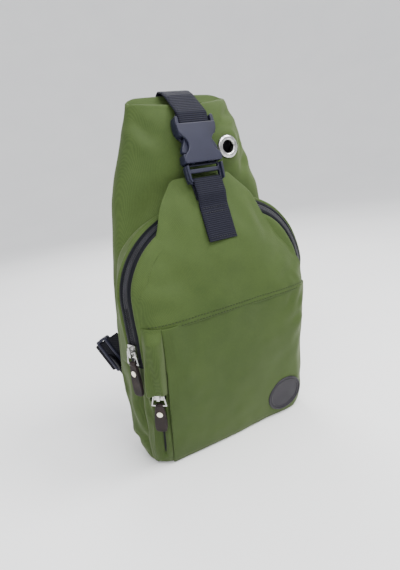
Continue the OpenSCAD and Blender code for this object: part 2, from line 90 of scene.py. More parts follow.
# ---------------------------------------------------------------- materials
class Tree:
    """A node material, with short calls that add and join its nodes."""

    def __init__(self, name):
        self.material = bpy.data.materials.new(name)
        self.material.use_nodes = True
        self.tree = self.material.node_tree
        self.tree.nodes.clear()
        self.shader = self.tree.nodes.new("ShaderNodeBsdfPrincipled")
        output = self.tree.nodes.new("ShaderNodeOutputMaterial")
        self.tree.links.new(self.shader.outputs[0], output.inputs[0])
        self.coords = self.tree.nodes.new("ShaderNodeTexCoord").outputs["Object"]

    def put(self, socket, value):
        if isinstance(value, bpy.types.NodeSocket):
            self.tree.links.new(value, socket)
        else:
            socket.default_value = value

    def node(self, kind, **values):
        made = self.tree.nodes.new("ShaderNode" + kind)
        for key, value in values.items():
            if key in made.inputs:
                self.put(made.inputs[key], value)
            else:
                setattr(made, key, value)
        return made

    def math(self, operation, a, b, clamp=False):
        made = self.node("Math", operation=operation, use_clamp=clamp)
        self.put(made.inputs[0], a)
        self.put(made.inputs[1], b)
        return made.outputs[0]

    def add(self, a, b, share):
        """a plus a share of b."""
        return self.math("ADD", a, self.math("MULTIPLY", b, share))

    def noise(self, scale, detail=3.0, rough=0.5):
        return self.node("TexNoise", Scale=scale, Detail=detail, Roughness=rough,
                         Vector=self.coords).outputs["Fac"]

    def stretch(self, scale):
        return self.node("Mapping", Vector=self.coords, Scale=scale).outputs[0]

    def wave(self, scale, direction, distortion, coords=None):
        return self.node("TexWave", bands_direction=direction, wave_profile="SIN", Scale=scale, Detail=1.0,
                         Distortion=distortion, Vector=coords or self.coords).outputs["Fac"]

    def ramp(self, value, stops):
        made = self.node("ValToRGB", Fac=value)
        for element, (place, colour) in zip(made.color_ramp.elements, stops):
            element.position = place
            element.color = (*colour, 1.0)
        return made.outputs[0]

    def bump(self, height, strength, distance, under=None):
        made = self.node("Bump", Strength=strength, Distance=distance, Height=height)
        if under:
            self.put(made.inputs["Normal"], under)
        return made.outputs[0]

    def range(self, value, low, high):
        made = self.node("MapRange")
        for i, number in ((0, value), (3, low), (4, high)):
            self.put(made.inputs[i], number)
        return made.outputs[0]

    def finish(self, colour, rough, normal=None, specular=None, sheen=None, sheen_rough=None):
        self.put(self.shader.inputs["Base Color"], colour)
        self.put(self.shader.inputs["Roughness"], rough)
        if normal:
            self.put(self.shader.inputs["Normal"], normal)
        if specular is not None:
            self.shader.inputs["Specular IOR Level"].default_value = specular
        if sheen is not None:
            self.shader.inputs["Sheen Weight"].default_value = sheen
        if sheen_rough is not None:
            self.shader.inputs["Sheen Roughness"].default_value = sheen_rough
        return self.material


WAVE_PERIOD = 0.31416  # the wave texture's period times its scale


def weave_height(t, pitch):
    """Over-and-under height of a plain weave."""
    up = t.wave(WAVE_PERIOD / pitch, "Z", 0.3)
    across = t.wave(WAVE_PERIOD / pitch * 1.15, "DIAGONAL", 0.3, t.stretch((1.0, 0.85, 0.0)))
    return t.add(t.math("MULTIPLY", up, 0.5), across, 0.5)


def cloth_material(name, dark, light, pitch=0.0006, tint=(0.6, 0.62, 0.45)):
    t = Tree(name)
    weave = weave_height(t, pitch)
    fibre = t.noise(900.0, 3.0, 0.6)
    shade = t.add(t.math("MULTIPLY", t.noise(9.0, 2.0), 0.5), t.noise(60.0), 0.22)
    shade = t.add(shade, t.math("SUBTRACT", fibre, 0.5), 0.35)
    # the weave's height also goes into the colour: its darker hollows are painted shade and its crests a
    # painted highlight; the noises above are the cloth's own uneven tone
    shade = t.add(shade, t.math("SUBTRACT", weave, 0.5), 0.30)
    t.shader.inputs["Sheen Tint"].default_value = (*tint, 1.0)
    soft = t.bump(t.noise(320.0, 2.0), 0.12, 0.0006)
    return t.finish(t.ramp(shade, [(0.1, dark), (0.65, light)]), t.range(fibre, 0.68, 0.84),
                    t.bump(weave, 0.3, 0.00018, soft), 0.2, 0.16, 0.45)


def ribbed_material(name, dark, light, pitch, rough=(0.55, 0.72), bump=0.6):
    """Webbing or tape: ribs along Z, with a finer thread across them."""
    t = Tree(name)
    fibre = t.noise(1400.0, 3.0, 0.6)
    thread = t.wave(WAVE_PERIOD / (pitch * 0.6), "X", 0.8)
    height = t.add(t.wave(WAVE_PERIOD / pitch, "Z", 0.4), thread, 0.35)
    # the rib and thread height also goes into the colour: darker grooves are painted shade and lighter crests
    # a painted highlight, mixed with the fibre noise, the tape's own tone
    shade = t.add(t.math("MULTIPLY", height, 0.45), fibre, 0.4)
    return t.finish(t.ramp(shade, [(0.15, dark), (0.85, light)]), t.range(fibre, *rough),
                    t.bump(height, bump, 0.0003), 0.1, 0.02, 0.5)


def plastic_material(name, dark, light, rough=(0.38, 0.5), grain=1500.0, bump=0.06):
    t = Tree(name)
    return t.finish(t.ramp(t.noise(35.0), [(0.3, dark), (0.75, light)]), t.range(t.noise(120.0, 4.0), *rough),
                    t.bump(t.noise(grain, 2.0, 0.6), bump, 0.0002), 0.3)


def metal_material(name, dark, light, rough=(0.14, 0.32)):
    t = Tree(name)
    wear = t.noise(260.0, 5.0, 0.65)
    t.shader.inputs["Metallic"].default_value = 1.0
    return t.finish(t.ramp(wear, [(0.35, dark), (0.6, light)]), t.range(wear, *rough),
                    t.bump(t.noise(1600.0, 2.0), 0.05, 0.0001))


def leather_material(name, dark, light):
    t = Tree(name)
    cells = t.node("TexVoronoi", feature="DISTANCE_TO_EDGE", Scale=1500.0, Vector=t.coords)
    grain = t.math("MULTIPLY", cells.outputs["Distance"], 2.0, True)
    broad = t.noise(90.0, 4.0)
    return t.finish(t.ramp(broad, [(0.3, dark), (0.7, light)]), t.range(t.noise(300.0), 0.5, 0.68),
                    t.bump(grain, 0.35, 0.00015, t.bump(broad, 0.2, 0.0004)), 0.15)


def mesh_cloth_material(name, dark, light, pitch=0.0022):
    """Air mesh: small round holes in rows, with painted shade inside the holes."""
    t = Tree(name)
    cells = t.node("TexVoronoi", feature="F1", Scale=1.0 / pitch, Randomness=0.12,
                   Vector=t.stretch((1.0, 0.6, 1.0)))
    hole = t.range(cells.outputs["Distance"], 0.0, 1.0)
    # painted shade: the middles of the holes take the dark colour
    return t.finish(t.ramp(hole, [(0.25, dark), (0.45, light)]), t.range(t.noise(700.0), 0.7, 0.9),
                    t.bump(hole, 0.5, 0.0005), 0.2, 0.02)


# the span from dark to light holds the cloth's own uneven tone and, from the weave, a little painted shade and
# highlight
OLIVE_DARK = (0.021, 0.038, 0.006)
OLIVE_LIGHT = (0.050, 0.080, 0.018)
olive = cloth_material("olive_cloth", OLIVE_DARK, OLIVE_LIGHT)
olive_thread = cloth_material("olive_thread", (0.008, 0.014, 0.004), (0.02, 0.03, 0.009), 0.0003)
lining_cloth = cloth_material("lining_cloth", (0.12, 0.125, 0.13), (0.2, 0.2, 0.21), 0.0004,
                              tint=(0.6, 0.6, 0.6))
# in the ribbed tapes below, the span from the first colour to the second holds the tape's own tone and the
# painted shade and highlight on the ribs
zip_tape = ribbed_material("zip_tape", (0.0009, 0.001, 0.002), (0.0035, 0.004, 0.0075), 0.0009,
                           rough=(0.34, 0.5), bump=0.3)
webbing = ribbed_material("webbing", (0.0008, 0.0009, 0.0025), (0.0105, 0.011, 0.022), 0.0017,
                          rough=(0.5, 0.7), bump=0.8)
side_webbing = ribbed_material("side_webbing", (0.001, 0.001, 0.002), (0.008, 0.008, 0.012), 0.0021)
black_thread = cloth_material("black_thread", (0.008, 0.008, 0.01), (0.03, 0.03, 0.034), 0.0003,
                              tint=(0.5, 0.5, 0.5))
coil_plastic = plastic_material("coil_plastic", (0.006, 0.006, 0.009), (0.02, 0.02, 0.026))
buckle_plastic = plastic_material("buckle_plastic", (0.0065, 0.007, 0.018), (0.0125, 0.0135, 0.030))
board_plastic = plastic_material("board_plastic", (0.02, 0.02, 0.02), (0.04, 0.04, 0.04))
patch_rubber = plastic_material("patch_rubber", (0.009, 0.0075, 0.012), (0.018, 0.015, 0.021), (0.45, 0.6),
                                900.0, 0.25)
nickel = metal_material("nickel", (0.30, 0.30, 0.30), (0.58, 0.58, 0.56))
brass = metal_material("pale_brass", (0.72, 0.66, 0.5), (0.9, 0.86, 0.74), (0.2, 0.35))
leather = leather_material("dark_leather", (0.010, 0.007, 0.007), (0.026, 0.018, 0.017))
# the first colour is the painted shade inside the mesh's holes
air_mesh = mesh_cloth_material("air_mesh", (0.004, 0.004, 0.005), (0.028, 0.028, 0.03))


# ---------------------------------------------------------------- mesh helpers
def clamp(t):
    return min(1.0, max(0.0, t))


def ease(t):
    """From 0 to 1 with soft ends."""
    t = clamp(t)
    return t * t * (3 - 2 * t)


def unit(v):
    return v / np.linalg.norm(v)


def tangents(path):
    t = np.gradient(path, axis=0)
    return t / np.linalg.norm(t, axis=1, keepdims=True)


def set_place(x, y, z, centre):
    """The frame with these three axes and this origin, in metres."""
    return Matrix([[x[k], y[k], z[k], centre[k]] for k in range(3)] + [[0, 0, 0, 1]])


def finish_object(obj, material, body, nodes=()):
    """Material, smooth faces, body, and the CAD nodes it replaces hidden."""
    obj.data.materials.clear()
    obj.data.materials.append(material)
    for face in obj.data.polygons:
        face.use_smooth = True
    if body:
        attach(obj, body)
    if nodes:
        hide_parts(*nodes)
    return obj


def mesh_object(name, points, faces):
    mesh = bpy.data.meshes.new(name)
    mesh.from_pydata([tuple(float(c) * MM for c in p) for p in points], [], faces)
    mesh.validate()
    mesh.update()
    return linked(name, mesh)


def grid_faces(rows, columns, round_columns=False, flip=False):
    faces = []
    wide = columns if round_columns else columns - 1
    for i in range(rows - 1):
        for j in range(wide):
            k = (j + 1) % columns
            quad = (i * columns + j, i * columns + k, (i + 1) * columns + k, (i + 1) * columns + j)
            faces.append(quad[::-1] if flip else quad)
    return faces


def grid_object(name, grid, round_columns=False, flip=False):
    rows, columns = grid.shape[:2]
    return mesh_object(name, grid.reshape(-1, 3), grid_faces(rows, columns, round_columns, flip))


def modifier(obj, kind, **values):
    made = obj.modifiers.new(kind.lower(), kind)
    for key, value in values.items():
        setattr(made, key, value)
    return made


def thicken(obj, thickness, offset=-1.0):
    modifier(obj, "SOLIDIFY", thickness=thickness * MM, offset=offset, use_even_offset=False)


def subdivide(obj, levels=1):
    modifier(obj, "SUBSURF", levels=levels, render_levels=levels)


def cloth_sheet(name, grid, nodes, thickness, offset=-1.0, fine=True, **grid_kind):
    """Olive cloth of one thickness on the bag, made from a grid of points."""
    obj = grid_object(name, grid, **grid_kind)
    thicken(obj, thickness, offset)
    if fine:
        subdivide(obj)
    return finish_object(obj, olive, "bag", nodes)


def grid_normals(grid, outward_from):
    du = np.gradient(grid, axis=0)
    dv = np.gradient(grid, axis=1)
    n = np.cross(du, dv)
    size = np.linalg.norm(n, axis=2, keepdims=True)
    n = n / np.maximum(size, 1e-9)
    facing = np.sum(n * (grid - outward_from), axis=2, keepdims=True)
    return n * np.where(facing < 0, -1.0, 1.0)


def soft_lookup(points, value, soft=5.0):
    """Reads a profile at a height, rounded over a few millimetres."""
    heights = [p[0] for p in points]
    values = [p[1] for p in points]
    value = np.asarray(value, dtype=float)
    total = 0.0
    for shift in (-1.0, -0.5, 0.0, 0.5, 1.0):
        total = total + np.interp(value + shift * soft, heights, values)
    return total / 5.0


def fold(grid, normals, a, b, depth, width):
    """Presses a soft crease into a grid along the line from a to b."""
    a = np.asarray(a, dtype=float)
    b = np.asarray(b, dtype=float)
    line = b - a
    length2 = float(line @ line)
    t = np.clip(((grid - a) @ line) / length2, 0.0, 1.0)
    nearest = a + t[..., None] * line
    gap = np.linalg.norm(grid - nearest, axis=2)
    taper = np.sin(np.pi * np.clip(t * 0.9 + 0.08, 0, 1)) ** 0.6
    shape = np.exp(-(gap / width) ** 2) - 0.55 * np.exp(-((gap - 1.9 * width) / (1.1 * width)) ** 2)
    return grid - normals * (depth * shape * taper)[..., None]


def rumple(grid, normals, size, height, seed, mask=None):
    """Low waves of cloth: smooth noise along the normals."""
    out = grid.copy()
    flat = out.reshape(-1, 3)
    flat_n = normals.reshape(-1, 3)
    masks = np.ones(len(flat)) if mask is None else np.broadcast_to(mask, grid.shape[:2]).reshape(-1)
    offset = Vector((seed * 7.3, seed * 3.1, seed * 5.7))
    for i in range(len(flat)):
        if masks[i] <= 0:
            continue
        value = noise.noise(Vector(flat[i]) / size + offset)
        flat[i] += flat_n[i] * value * height * masks[i]
    return out


def run_along(points):
    """The distance along a line of points, at each point."""
    return np.concatenate([[0.0], np.cumsum(np.linalg.norm(np.diff(points, axis=0), axis=1))])


def at_places(where, places, points):
    """The points of a line where its places reach the wanted values."""
    return np.stack([np.interp(where, places, points[:, k]) for k in range(points.shape[1])], axis=-1)


def smooth_line(points, count, soft):
    """Evenly spaced points along a polyline, with its corners rounded over soft millimetres."""
    points = np.asarray(points, dtype=float)
    along = run_along(points)
    total = along[-1]
    dense = at_places(np.linspace(0.0, total, 400), along, points)
    reach = max(1, int(round(soft / total * 400)))
    kernel = np.hanning(2 * reach + 3)
    kernel = kernel / kernel.sum()
    padded = np.concatenate([2 * dense[0] - dense[reach + 1:0:-1], dense,
                             2 * dense[-1] - dense[-2:-reach - 3:-1]])
    rounded = np.stack([np.convolve(padded[:, k], kernel, "valid") for k in range(points.shape[1])], axis=1)
    return at_places(np.linspace(0, len(rounded) - 1, count), np.arange(len(rounded)), rounded)


def ribbon_object(name, path, side, normal, width, thickness, crown=0.0, columns=9):
    """A closed band with rounded edges along a path."""
    half = np.broadcast_to(np.asarray(width, dtype=float) / 2.0, (len(path),))[:, None]
    ring = []
    for j in range(columns):
        u = -1.0 + 2.0 * j / (columns - 1)
        ring.append((u, 1.0, thickness / 2 + crown * (1 - u * u)))
    ring.append((1.0, 0.0, 0.0))
    for j in range(columns):
        u = 1.0 - 2.0 * j / (columns - 1)
        ring.append((u, 1.0, -thickness / 2 + crown * (1 - u * u) * 0.6))
    ring.append((-1.0, 0.0, 0.0))
    grid = np.stack([path + side * (u * (half - inset * thickness / 2)) + normal * b
                     for u, inset, b in ring], axis=1)
    obj = grid_object(name, grid, round_columns=True)
    add_caps(obj, len(ring))
    return obj


def set_faces(obj, faces):
    """Keep an object's points and give it these faces."""
    points = [tuple(v.co) for v in obj.data.vertices]
    obj.data.clear_geometry()
    obj.data.from_pydata(points, [], faces)
    obj.data.update()


def add_caps(obj, count, turn=1, last=True):
    """Close the ends of a tube of rings of count points."""
    ends = [list(range(count))[::-turn]]
    if last:
        ends.append(list(range(len(obj.data.vertices) - count, len(obj.data.vertices)))[::turn])
    set_faces(obj, [tuple(f.vertices) for f in obj.data.polygons] + ends)


def bead_faces(start):
    """The faces of one closed bead: four rings of six points."""
    faces = [(low + k, low + (k + 1) % 6, low + 6 + (k + 1) % 6, low + 6 + k)
             for low in range(start, start + 18, 6) for k in range(6)]
    faces.append(tuple(start + k for k in range(5, -1, -1)))
    faces.append(tuple(start + 18 + k for k in range(6)))
    return faces


def stitch_object(name, path, normal, body, material, pitch=3.0, length=2.1, radius=0.32):
    """A row of thread stitches lying along a path."""
    path = np.asarray(path, dtype=float)
    normal = np.broadcast_to(np.asarray(normal, dtype=float), path.shape)
    along = run_along(path)
    count = int(along[-1] // pitch)
    points, faces = [], []
    for i in range(count):
        s = (i + 0.5) * along[-1] / count
        p = at_places(s, along, path)
        q = at_places(min(s + 0.5, along[-1]), along, path)
        n = at_places(s, along, normal)
        t = q - p
        t /= max(np.linalg.norm(t), 1e-9)
        side = np.cross(t, n)
        start = len(points)
        for a, r in ((-0.5, 0.25), (-0.3, 1.0), (0.3, 1.0), (0.5, 0.25)):
            for k in range(6):
                turn = k * math.pi / 3
                points.append(p + t * a * length
                              + (side * math.cos(turn) + n * math.sin(turn)) * radius * r
                              - n * (0.25 * radius if r < 1 else 0.0))
        faces += bead_faces(start)
    obj = mesh_object(name, points, faces)
    return finish_object(obj, material, body)


def plate_object(name, outlines, low, high, bevel, place):
    """A flat moulded plate with rounded edges: outlines in 2D (the first is the outside, the
    rest are holes), from depth low to high, set in the frame place."""
    curve = bpy.data.curves.new(name, "CURVE")
    curve.dimensions = "2D"
    curve.fill_mode = "BOTH"
    curve.extrude = ((high - low) / 2 - bevel) * MM
    curve.bevel_depth = bevel * MM
    curve.bevel_resolution = 2
    curve.offset = -bevel * MM
    for outline in outlines:
        spline = curve.splines.new("POLY")
        spline.points.add(len(outline) - 1)
        for point, (x, y) in zip(spline.points, outline):
            point.co = (x * MM, y * MM, 0, 1)
        spline.use_cyclic_u = True
    holder = linked(name + "_curve", curve)
    bpy.context.view_layer.update()
    graph = bpy.context.evaluated_depsgraph_get()
    mesh = bpy.data.meshes.new_from_object(holder.evaluated_get(graph))
    bpy.data.objects.remove(holder)
    mesh.transform(place @ Matrix.Translation((0, 0, (low + high) / 2 * MM)))
    return linked(name, mesh)


def rounded_outline(corners, radius, steps=5):
    """A closed outline with every corner rounded; corners are (x, y) or (x, y, own radius)."""
    out = []
    count = len(corners)
    for i in range(count):
        p = np.array(corners[i][:2], dtype=float)
        a = np.array(corners[i - 1][:2], dtype=float) - p
        b = np.array(corners[(i + 1) % count][:2], dtype=float) - p
        r = corners[i][2] if len(corners[i]) > 2 else radius
        reach = min(r, 0.45 * np.linalg.norm(a), 0.45 * np.linalg.norm(b))
        start = p + a / np.linalg.norm(a) * reach
        end = p + b / np.linalg.norm(b) * reach
        for k in range(steps + 1):
            t = k / steps
            q = (1 - t) ** 2 * start + 2 * t * (1 - t) * p + t * t * end
            out.append((q[0], q[1]))
    return out


def ring_profile(name, profile, place, segments=64):
    """A turned piece: a closed profile of (radius, height) about the Z axis of the frame place."""
    count = len(profile)
    turns = [2 * math.pi * i / segments for i in range(segments)]
    grid = np.array([[(r * math.cos(turn), r * math.sin(turn), h) for r, h in profile] for turn in turns])
    faces = []
    for i in range(segments):
        k = (i + 1) % segments
        for j in range(count):
            m = (j + 1) % count
            faces.append((i * count + j, k * count + j, k * count + m, i * count + m))
    obj = mesh_object(name, grid.reshape(-1, 3), faces)
    shape = bmesh.new()
    shape.from_mesh(obj.data)
    bmesh.ops.remove_doubles(shape, verts=shape.verts, dist=1e-7)
    bmesh.ops.dissolve_degenerate(shape, edges=shape.edges, dist=1e-8)
    shape.to_mesh(obj.data)
    shape.free()
    obj.data.transform(place)
    return obj


# ---------------------------------------------------------------- the bag's shape, in mm
seam_z = 144.0
width_line = [(0, 90), (10, 92.5), (35, 96), (72, 98), (95, 97.5), (130, 93.5), (150, 91.5), (165, 90),
              (180, 87.5), (200, 83), (225, 79), (240, 77), (252, 75), (265, 70.5), (280, 65.5),
              (292, 61.5), (305, 56), (318, 50.5), (326, 48), (331, 46.5)]
crease_line = [(0, -20), (60, -30), (105, -37), (seam_z, -44), (165, -47)]
front_line = [(-10, -28.5), (0, -30), (20, -35.2), (60, -44), (100, -52), (seam_z, -58.4), (150, -59.4)]
flap_line = [(seam_z - 4, -60.5), (seam_z, -60.4), (150, -60.0), (158, -58.4), (172, -55.2), (186, -52.6),
             (200, -49.6), (225, -44), (240, -40), (250, -36.5), (257, -33), (265, -28)]
shoulder_line = [(0, -22), (100, -30), (118, -26), (165, -25), (200, -22), (245, -18), (262, -19.5),
                 (274, -22), (298, -22.2), (312, -19.5), (324, -14.5), (331, -11)]
back_line = [(0, 18), (40, 20), (200, 19), (260, 14), (300, 9.5), (331, 7.5)]
tongue_width = [(seam_z, 88), (166, 88.2), (173, 86), (184, 78), (195, 70), (208, 62.5), (224, 54.5),
                (239, 49), (250, 43), (258, 37), (263, 33), (266, 30)]
zip_mid_x = 92.5
zip_mid_y = -36.25
arch_base = 166.0
arch_rise = 71.0
arch_tilt = 0.15
zip_low_end = 112.0
zip_leg = arch_base - zip_low_end
zip_arc = math.pi * 0.5 * (3 * (zip_mid_x + arch_rise)
                           - math.sqrt((3 * zip_mid_x + arch_rise) * (zip_mid_x + 3 * arch_rise)))
zip_length = 2 * zip_leg + 2 * zip_arc
bag_middle = np.array([0.0, 0.0, 150.0])


def zip_frame(s):
    """A point of the zip's middle line, for s in mm from the left leg's lower end, with the
    directions along it, across it towards the back, and out of it."""
    leg, arc = zip_leg, zip_arc
    if s < leg:
        centre = np.array([-zip_mid_x, zip_mid_y, zip_low_end + s])
        radial = np.array([-1.0, 0.0, 0.0])
        along = np.array([0.0, 0.0, 1.0])
    elif s > leg + 2 * arc:
        down = s - leg - 2 * arc
        back = ease(down / 34.0)
        centre = np.array([zip_mid_x - 2.5 * back, zip_mid_y + 9.0 * back, arch_base - down])
        radial = np.array([1.0, 0.0, 0.0])
        along = np.array([0.0, 0.0, -1.0])
        centre[1] -= 2.0
    else:
        turn = math.pi * (1 - (s - leg) / (2 * arc))
        x = zip_mid_x * math.cos(turn)
        z = arch_rise * math.sin(turn)
        lean = arch_tilt * z * (1 - math.exp(-z / 20.0))
        bulge = math.sin(2 * turn) ** 2 if turn < math.pi / 2 else 0.0
        right = max(0.0, math.cos(turn))
        centre = np.array([x + 3.0 * bulge, zip_mid_y + lean - 2.0 * right, arch_base + z + 3.5 * bulge])
        radial = np.array([arch_rise * math.cos(turn), 0.0, zip_mid_x * math.sin(turn)])
        radial = unit(radial)
        along = unit(np.array([zip_mid_x * math.sin(turn), 0.0, -arch_rise * math.cos(turn)]))
    twist = math.radians(21.8 + 32.0 * ease((centre[0] + 60.0) / 130.0))
    across = radial * math.sin(twist) + np.array([0, 1.0, 0]) * math.cos(twist)
    out = radial * math.cos(twist) - np.array([0, 1.0, 0]) * math.sin(twist)
    return centre, along, across, out


# ---------------------------------------------------------------- body shell
top_rise = 12.0


def body_profile(z):
    """Half-width, front, back, middle depth and corner power of the body at one height."""
    w = float(soft_lookup(width_line, z, 4))
    y_front = float(soft_lookup(shoulder_line, z, 6))
    y_back = float(soft_lookup(back_line, z, 6))
    middle = 0.35 * y_front + 0.65 * y_back - 3.0 * clamp((170 - z) / 80)
    power = float(np.interp(z, [0, 60, 150, 230, 300, 331], [4.5, 4.2, 3.6, 2.7, 2.4, 2.5]))
    return w, y_front, y_back, middle, power


def body_section(z, count):
    """The body's outline at one height, starting at the middle of the back."""
    w, y_front, y_back, middle, power = body_profile(z)
    points = []
    for i in range(count):
        turn = 2 * math.pi * i / count + math.pi / 2
        c, s = math.cos(turn), math.sin(turn)
        x = w * math.copysign(abs(c) ** (2 / power), c)
        depth = (y_back - middle) if s > 0 else (middle - y_front)
        y = middle + depth * math.copysign(abs(s) ** (2 / power), s)
        back_share = (y - y_front) / (y_back - y_front)
        points.append((x, y, z + top_rise * back_share * (z / 325.0) ** 6))
    return np.array(points)


eyelet_x = 35.0
eyelet_z = 286.0
eyelet_y = -22.2


def make_body_shell():
    count = 176
    heights = list(np.linspace(5, 319, 128)) + [321.5, 324.0]
    rows = []
    floor = body_section(6, count)
    centre = np.array([0.0, -2.0, 0.0])
    for share, z in ((0.0, 1.4), (0.5, 1.2), (0.9, 0.8), (0.955, 0.6), (0.985, 1.6)):
        row = centre + (floor - centre) * share
        row[:, 2] = z
        rows.append(row)
    for z in heights:
        rows.append(body_section(z, count))
    top = body_section(325, count)
    rise = top[:, 2] - 325.0
    middle = float(top[:, 1].mean())
    lips = ((0.0, 325.4), (0.12, 326.5), (0.28, 326.7), (0.42, 325.6), (0.55, 323.6), (0.75, 322.2),
            (0.93, 321.8))
    for inset, z in lips:
        row = top.copy()
        row[:, 1] = middle + (row[:, 1] - middle) * (1 - inset)
        row[:, 0] = row[:, 0] * (1 - 0.06 * inset)
        ears = np.clip((np.abs(row[:, 0]) - 36) / 12, 0, 1) ** 2
        row[:, 2] = z + rise * (1 - 0.4 * inset) - ears * 2.2
        rows.append(row)
    grid = np.array(rows)
    normals = grid_normals(grid, bag_middle)
    body = slice(7, -7)
    mask = np.zeros(grid.shape[:2])
    mask[body] = 1.0
    mask *= np.where(grid[..., 1] > 4, 0.3, 1.0)
    side = np.clip((np.abs(grid[..., 0]) - 55) / 25, 0, 1)
    grid = rumple(grid, normals, 42.0, 3.2, 1, mask)
    grid = rumple(grid, normals, 17.0, 0.7, 2, mask * (0.4 + 0.6 * side))
    folds = [((-95, 5, 150), (-88, -12, 235), 1.6, 7), ((-70, -14, 215), (-38, -20, 262), 2.2, 10),
             ((-97, 0, 60), (-92, -22, 12), 2.2, 6), ((-96, -8, 96), (-97, 12, 40), 1.6, 7),
             ((-90, -16, 30), (-95, 14, 18), 1.4, 5), ((-80, -10, 205), (-52, -22, 300), 1.2, 12),
             ((60, -14, 296), (28, -21, 270), 3.0, 7), ((56, -12, 306), (36, -20, 300), 2.6, 5),
             ((50, -11, 320), (24, -21, 298), 3.0, 5), ((66, -8, 288), (52, -18, 262), 2.2, 5),
             ((-50, -11, 318), (-36, -18, 296), 2.2, 6), ((-36, -18, 316), (-30, -21, 288), 1.2, 8),
             ((74, -10, 262), (40, -20, 282), 1.7, 7), ((52, -8, 316), (20, -18, 312), 1.4, 6),
             ((-46, -10, 318), (-20, -18, 300), 1.2, 9), ((95, 5, 150), (88, -12, 235), 1.4, 7),
             ((97, 0, 60), (92, -20, 14), 2.0, 6), ((70, -14, 225), (44, -20, 250), 1.4, 8)]
    for crease in folds:
        grid = fold(grid, normals, *crease)
    near = np.hypot(grid[..., 0] - eyelet_x, grid[..., 2] - eyelet_z)
    flat = np.clip((20.0 - near) / 9.0, 0, 1) * (grid[..., 1] < -2)
    flat = flat * flat * (3 - 2 * flat)
    grid[..., 1] += (eyelet_y + 0.9 * np.clip((near - 11) / 9, 0, 1) - grid[..., 1]) * flat
    obj = grid_object("body_shell", grid, round_columns=True, flip=False)
    hole = Vector((eyelet_x, eyelet_y, eyelet_z)) * MM
    drop_faces(obj, lambda c: (c - hole).length < 0.0068)
    thicken(obj, 1.2)
    return finish_object(obj, olive, "bag", ["rear_gusset", "upper_front_panel"])


def drop_faces(obj, test):
    set_faces(obj, [tuple(f.vertices) for f in obj.data.polygons if not test(f.center)])


def make_inner_lining():
    count = 96
    rows = []
    for z in np.linspace(9, 316, 60):
        row = body_section(z, count)
        middle = row.mean(axis=0)
        share = 1 - 7.0 / np.maximum(np.linalg.norm((row - middle)[:, :2], axis=1), 9)
        row[:, :2] = middle[:2] + (row - middle)[:, :2] * share[:, None]
        rows.append(row)
    obj = grid_object("inner_lining", np.array(rows), round_columns=True)
    add_caps(obj, count, last=False)
    hole = Vector((eyelet_x, eyelet_y + 5, eyelet_z)) * MM
    drop_faces(obj, lambda c: (c - hole).length < 0.011)
    thicken(obj, 0.8)
    return finish_object(obj, lining_cloth, "bag", ["main_lining", "door_lining", "slip_pocket"])


make_body_shell()
make_inner_lining()


# ---------------------------------------------------------------- front pocket
def pocket_corner(z):
    """The crease's depth and the corner's half-width at one height."""
    c = float(soft_lookup(crease_line, z, 6)) + 1.5
    return c, float(np.interp(z, [0, 20, 120, 144], [86, 87.2, 87.6, 88.2]))


def pocket_outline(z):
    """Half of the pocket's outline at one height, from the crease to the front's middle."""
    f = float(soft_lookup(front_line, z, 3))
    c, corner = pocket_corner(z)
    shoulder = float(np.interp(z, [0, 144], [6.5, 10.5]))
    line = [(corner + 1.5, c + 19.0), (corner + 3.5, c + 2.0), (corner + 1.2, c - 3.0),
            (corner + 0.4, f + shoulder + 1), (75.5, f + 0.5), (64.0, f - 0.2), (0.0, f - 0.6)]
    return [(x, y, z) for x, y in line]


def pocket_rows(side, x_from, x_to, count, heights):
    """Rows of the pocket's surface between two stations along its outline."""
    rows = []
    for z in heights:
        line = smooth_line([(side * x, y, h) for x, y, h in pocket_outline(z)], 240, 5.0)
        key = np.abs(line[:, 0])
        along = run_along(line)
        front = int(np.argmin(np.abs(key - 75.5) + (along < 8) * 1000))
        s_from = 0.0 if x_from is None else along[front] + (75.5 - x_from)
        s_to = along[front] + (75.5 - x_to)
        pick = np.linspace(s_from, s_to, count)
        rows.append(at_places(pick, along, line))
    return np.array(rows)


def make_pocket():
    heights = np.concatenate([[0.5, 2.0], np.linspace(5, seam_z + 3, 64)])
    right = pocket_rows(1, None, 0.5, 56, heights)
    left = pocket_rows(-1, 74.5, 0.0, 44, heights)
    grid = np.concatenate([right, left[:, ::-1]], axis=1)
    normals = grid_normals(grid, bag_middle)
    z = grid[..., 2]
    x = grid[..., 0]
    swell = np.sin(np.pi * np.clip(z / seam_z, 0, 1)) ** 0.7
    swell = swell * np.clip(1 - (np.abs(x) / 84) ** 4, 0, 1)
    grid = grid + normals * (1.6 * swell)[..., None]
    tuck = np.exp(-((z - 1.0) / 3.0) ** 2)
    grid = grid - normals * (1.6 * tuck)[..., None]
    inner = np.clip((x + 74) / 8, 0, 1)
    grid = rumple(grid, normals, 48.0, 2.6, 5, inner)
    grid = rumple(grid, normals, 15.0, 0.6, 6, inner)
    folds = [((86, -44, 128), (62, -58, 112), 1.2, 5), ((84, -46, 118), (70, -56, 78), 0.9, 5),
             ((-74, -57, 132), (-58, -55, 60), 0.8, 6), ((88, -30, 40), (72, -40, 10), 1.2, 6),
             ((78, -56, 141), (70, -58, 126), 0.9, 3), ((64, -58, 142), (58, -58, 130), 0.6, 3)]
    for crease in folds:
        grid = fold(grid, normals, *crease)
    cloth_sheet("pocket_front", grid, ["pocket_panel", "pocket_gusset"], 1.3)
    return grid


pocket_grid = make_pocket()


def panel_stitches():
    """The stitch row down the panel's left edge."""
    row = []
    for line in pocket_grid:
        order = np.argsort(line[:, 0])
        line = line[order]
        front = line[line[:, 1] < line[:, 1].min() + 12]
        row.append([-71.0, np.interp(-71.0, front[:, 0], front[:, 1]) - 0.15, line[0, 2]])
    row = np.array(row[2:-3])
    stitch_object("panel_stitch", row, (0, -1, 0), "bag", olive_thread, 3.0, 2.1, 0.3)


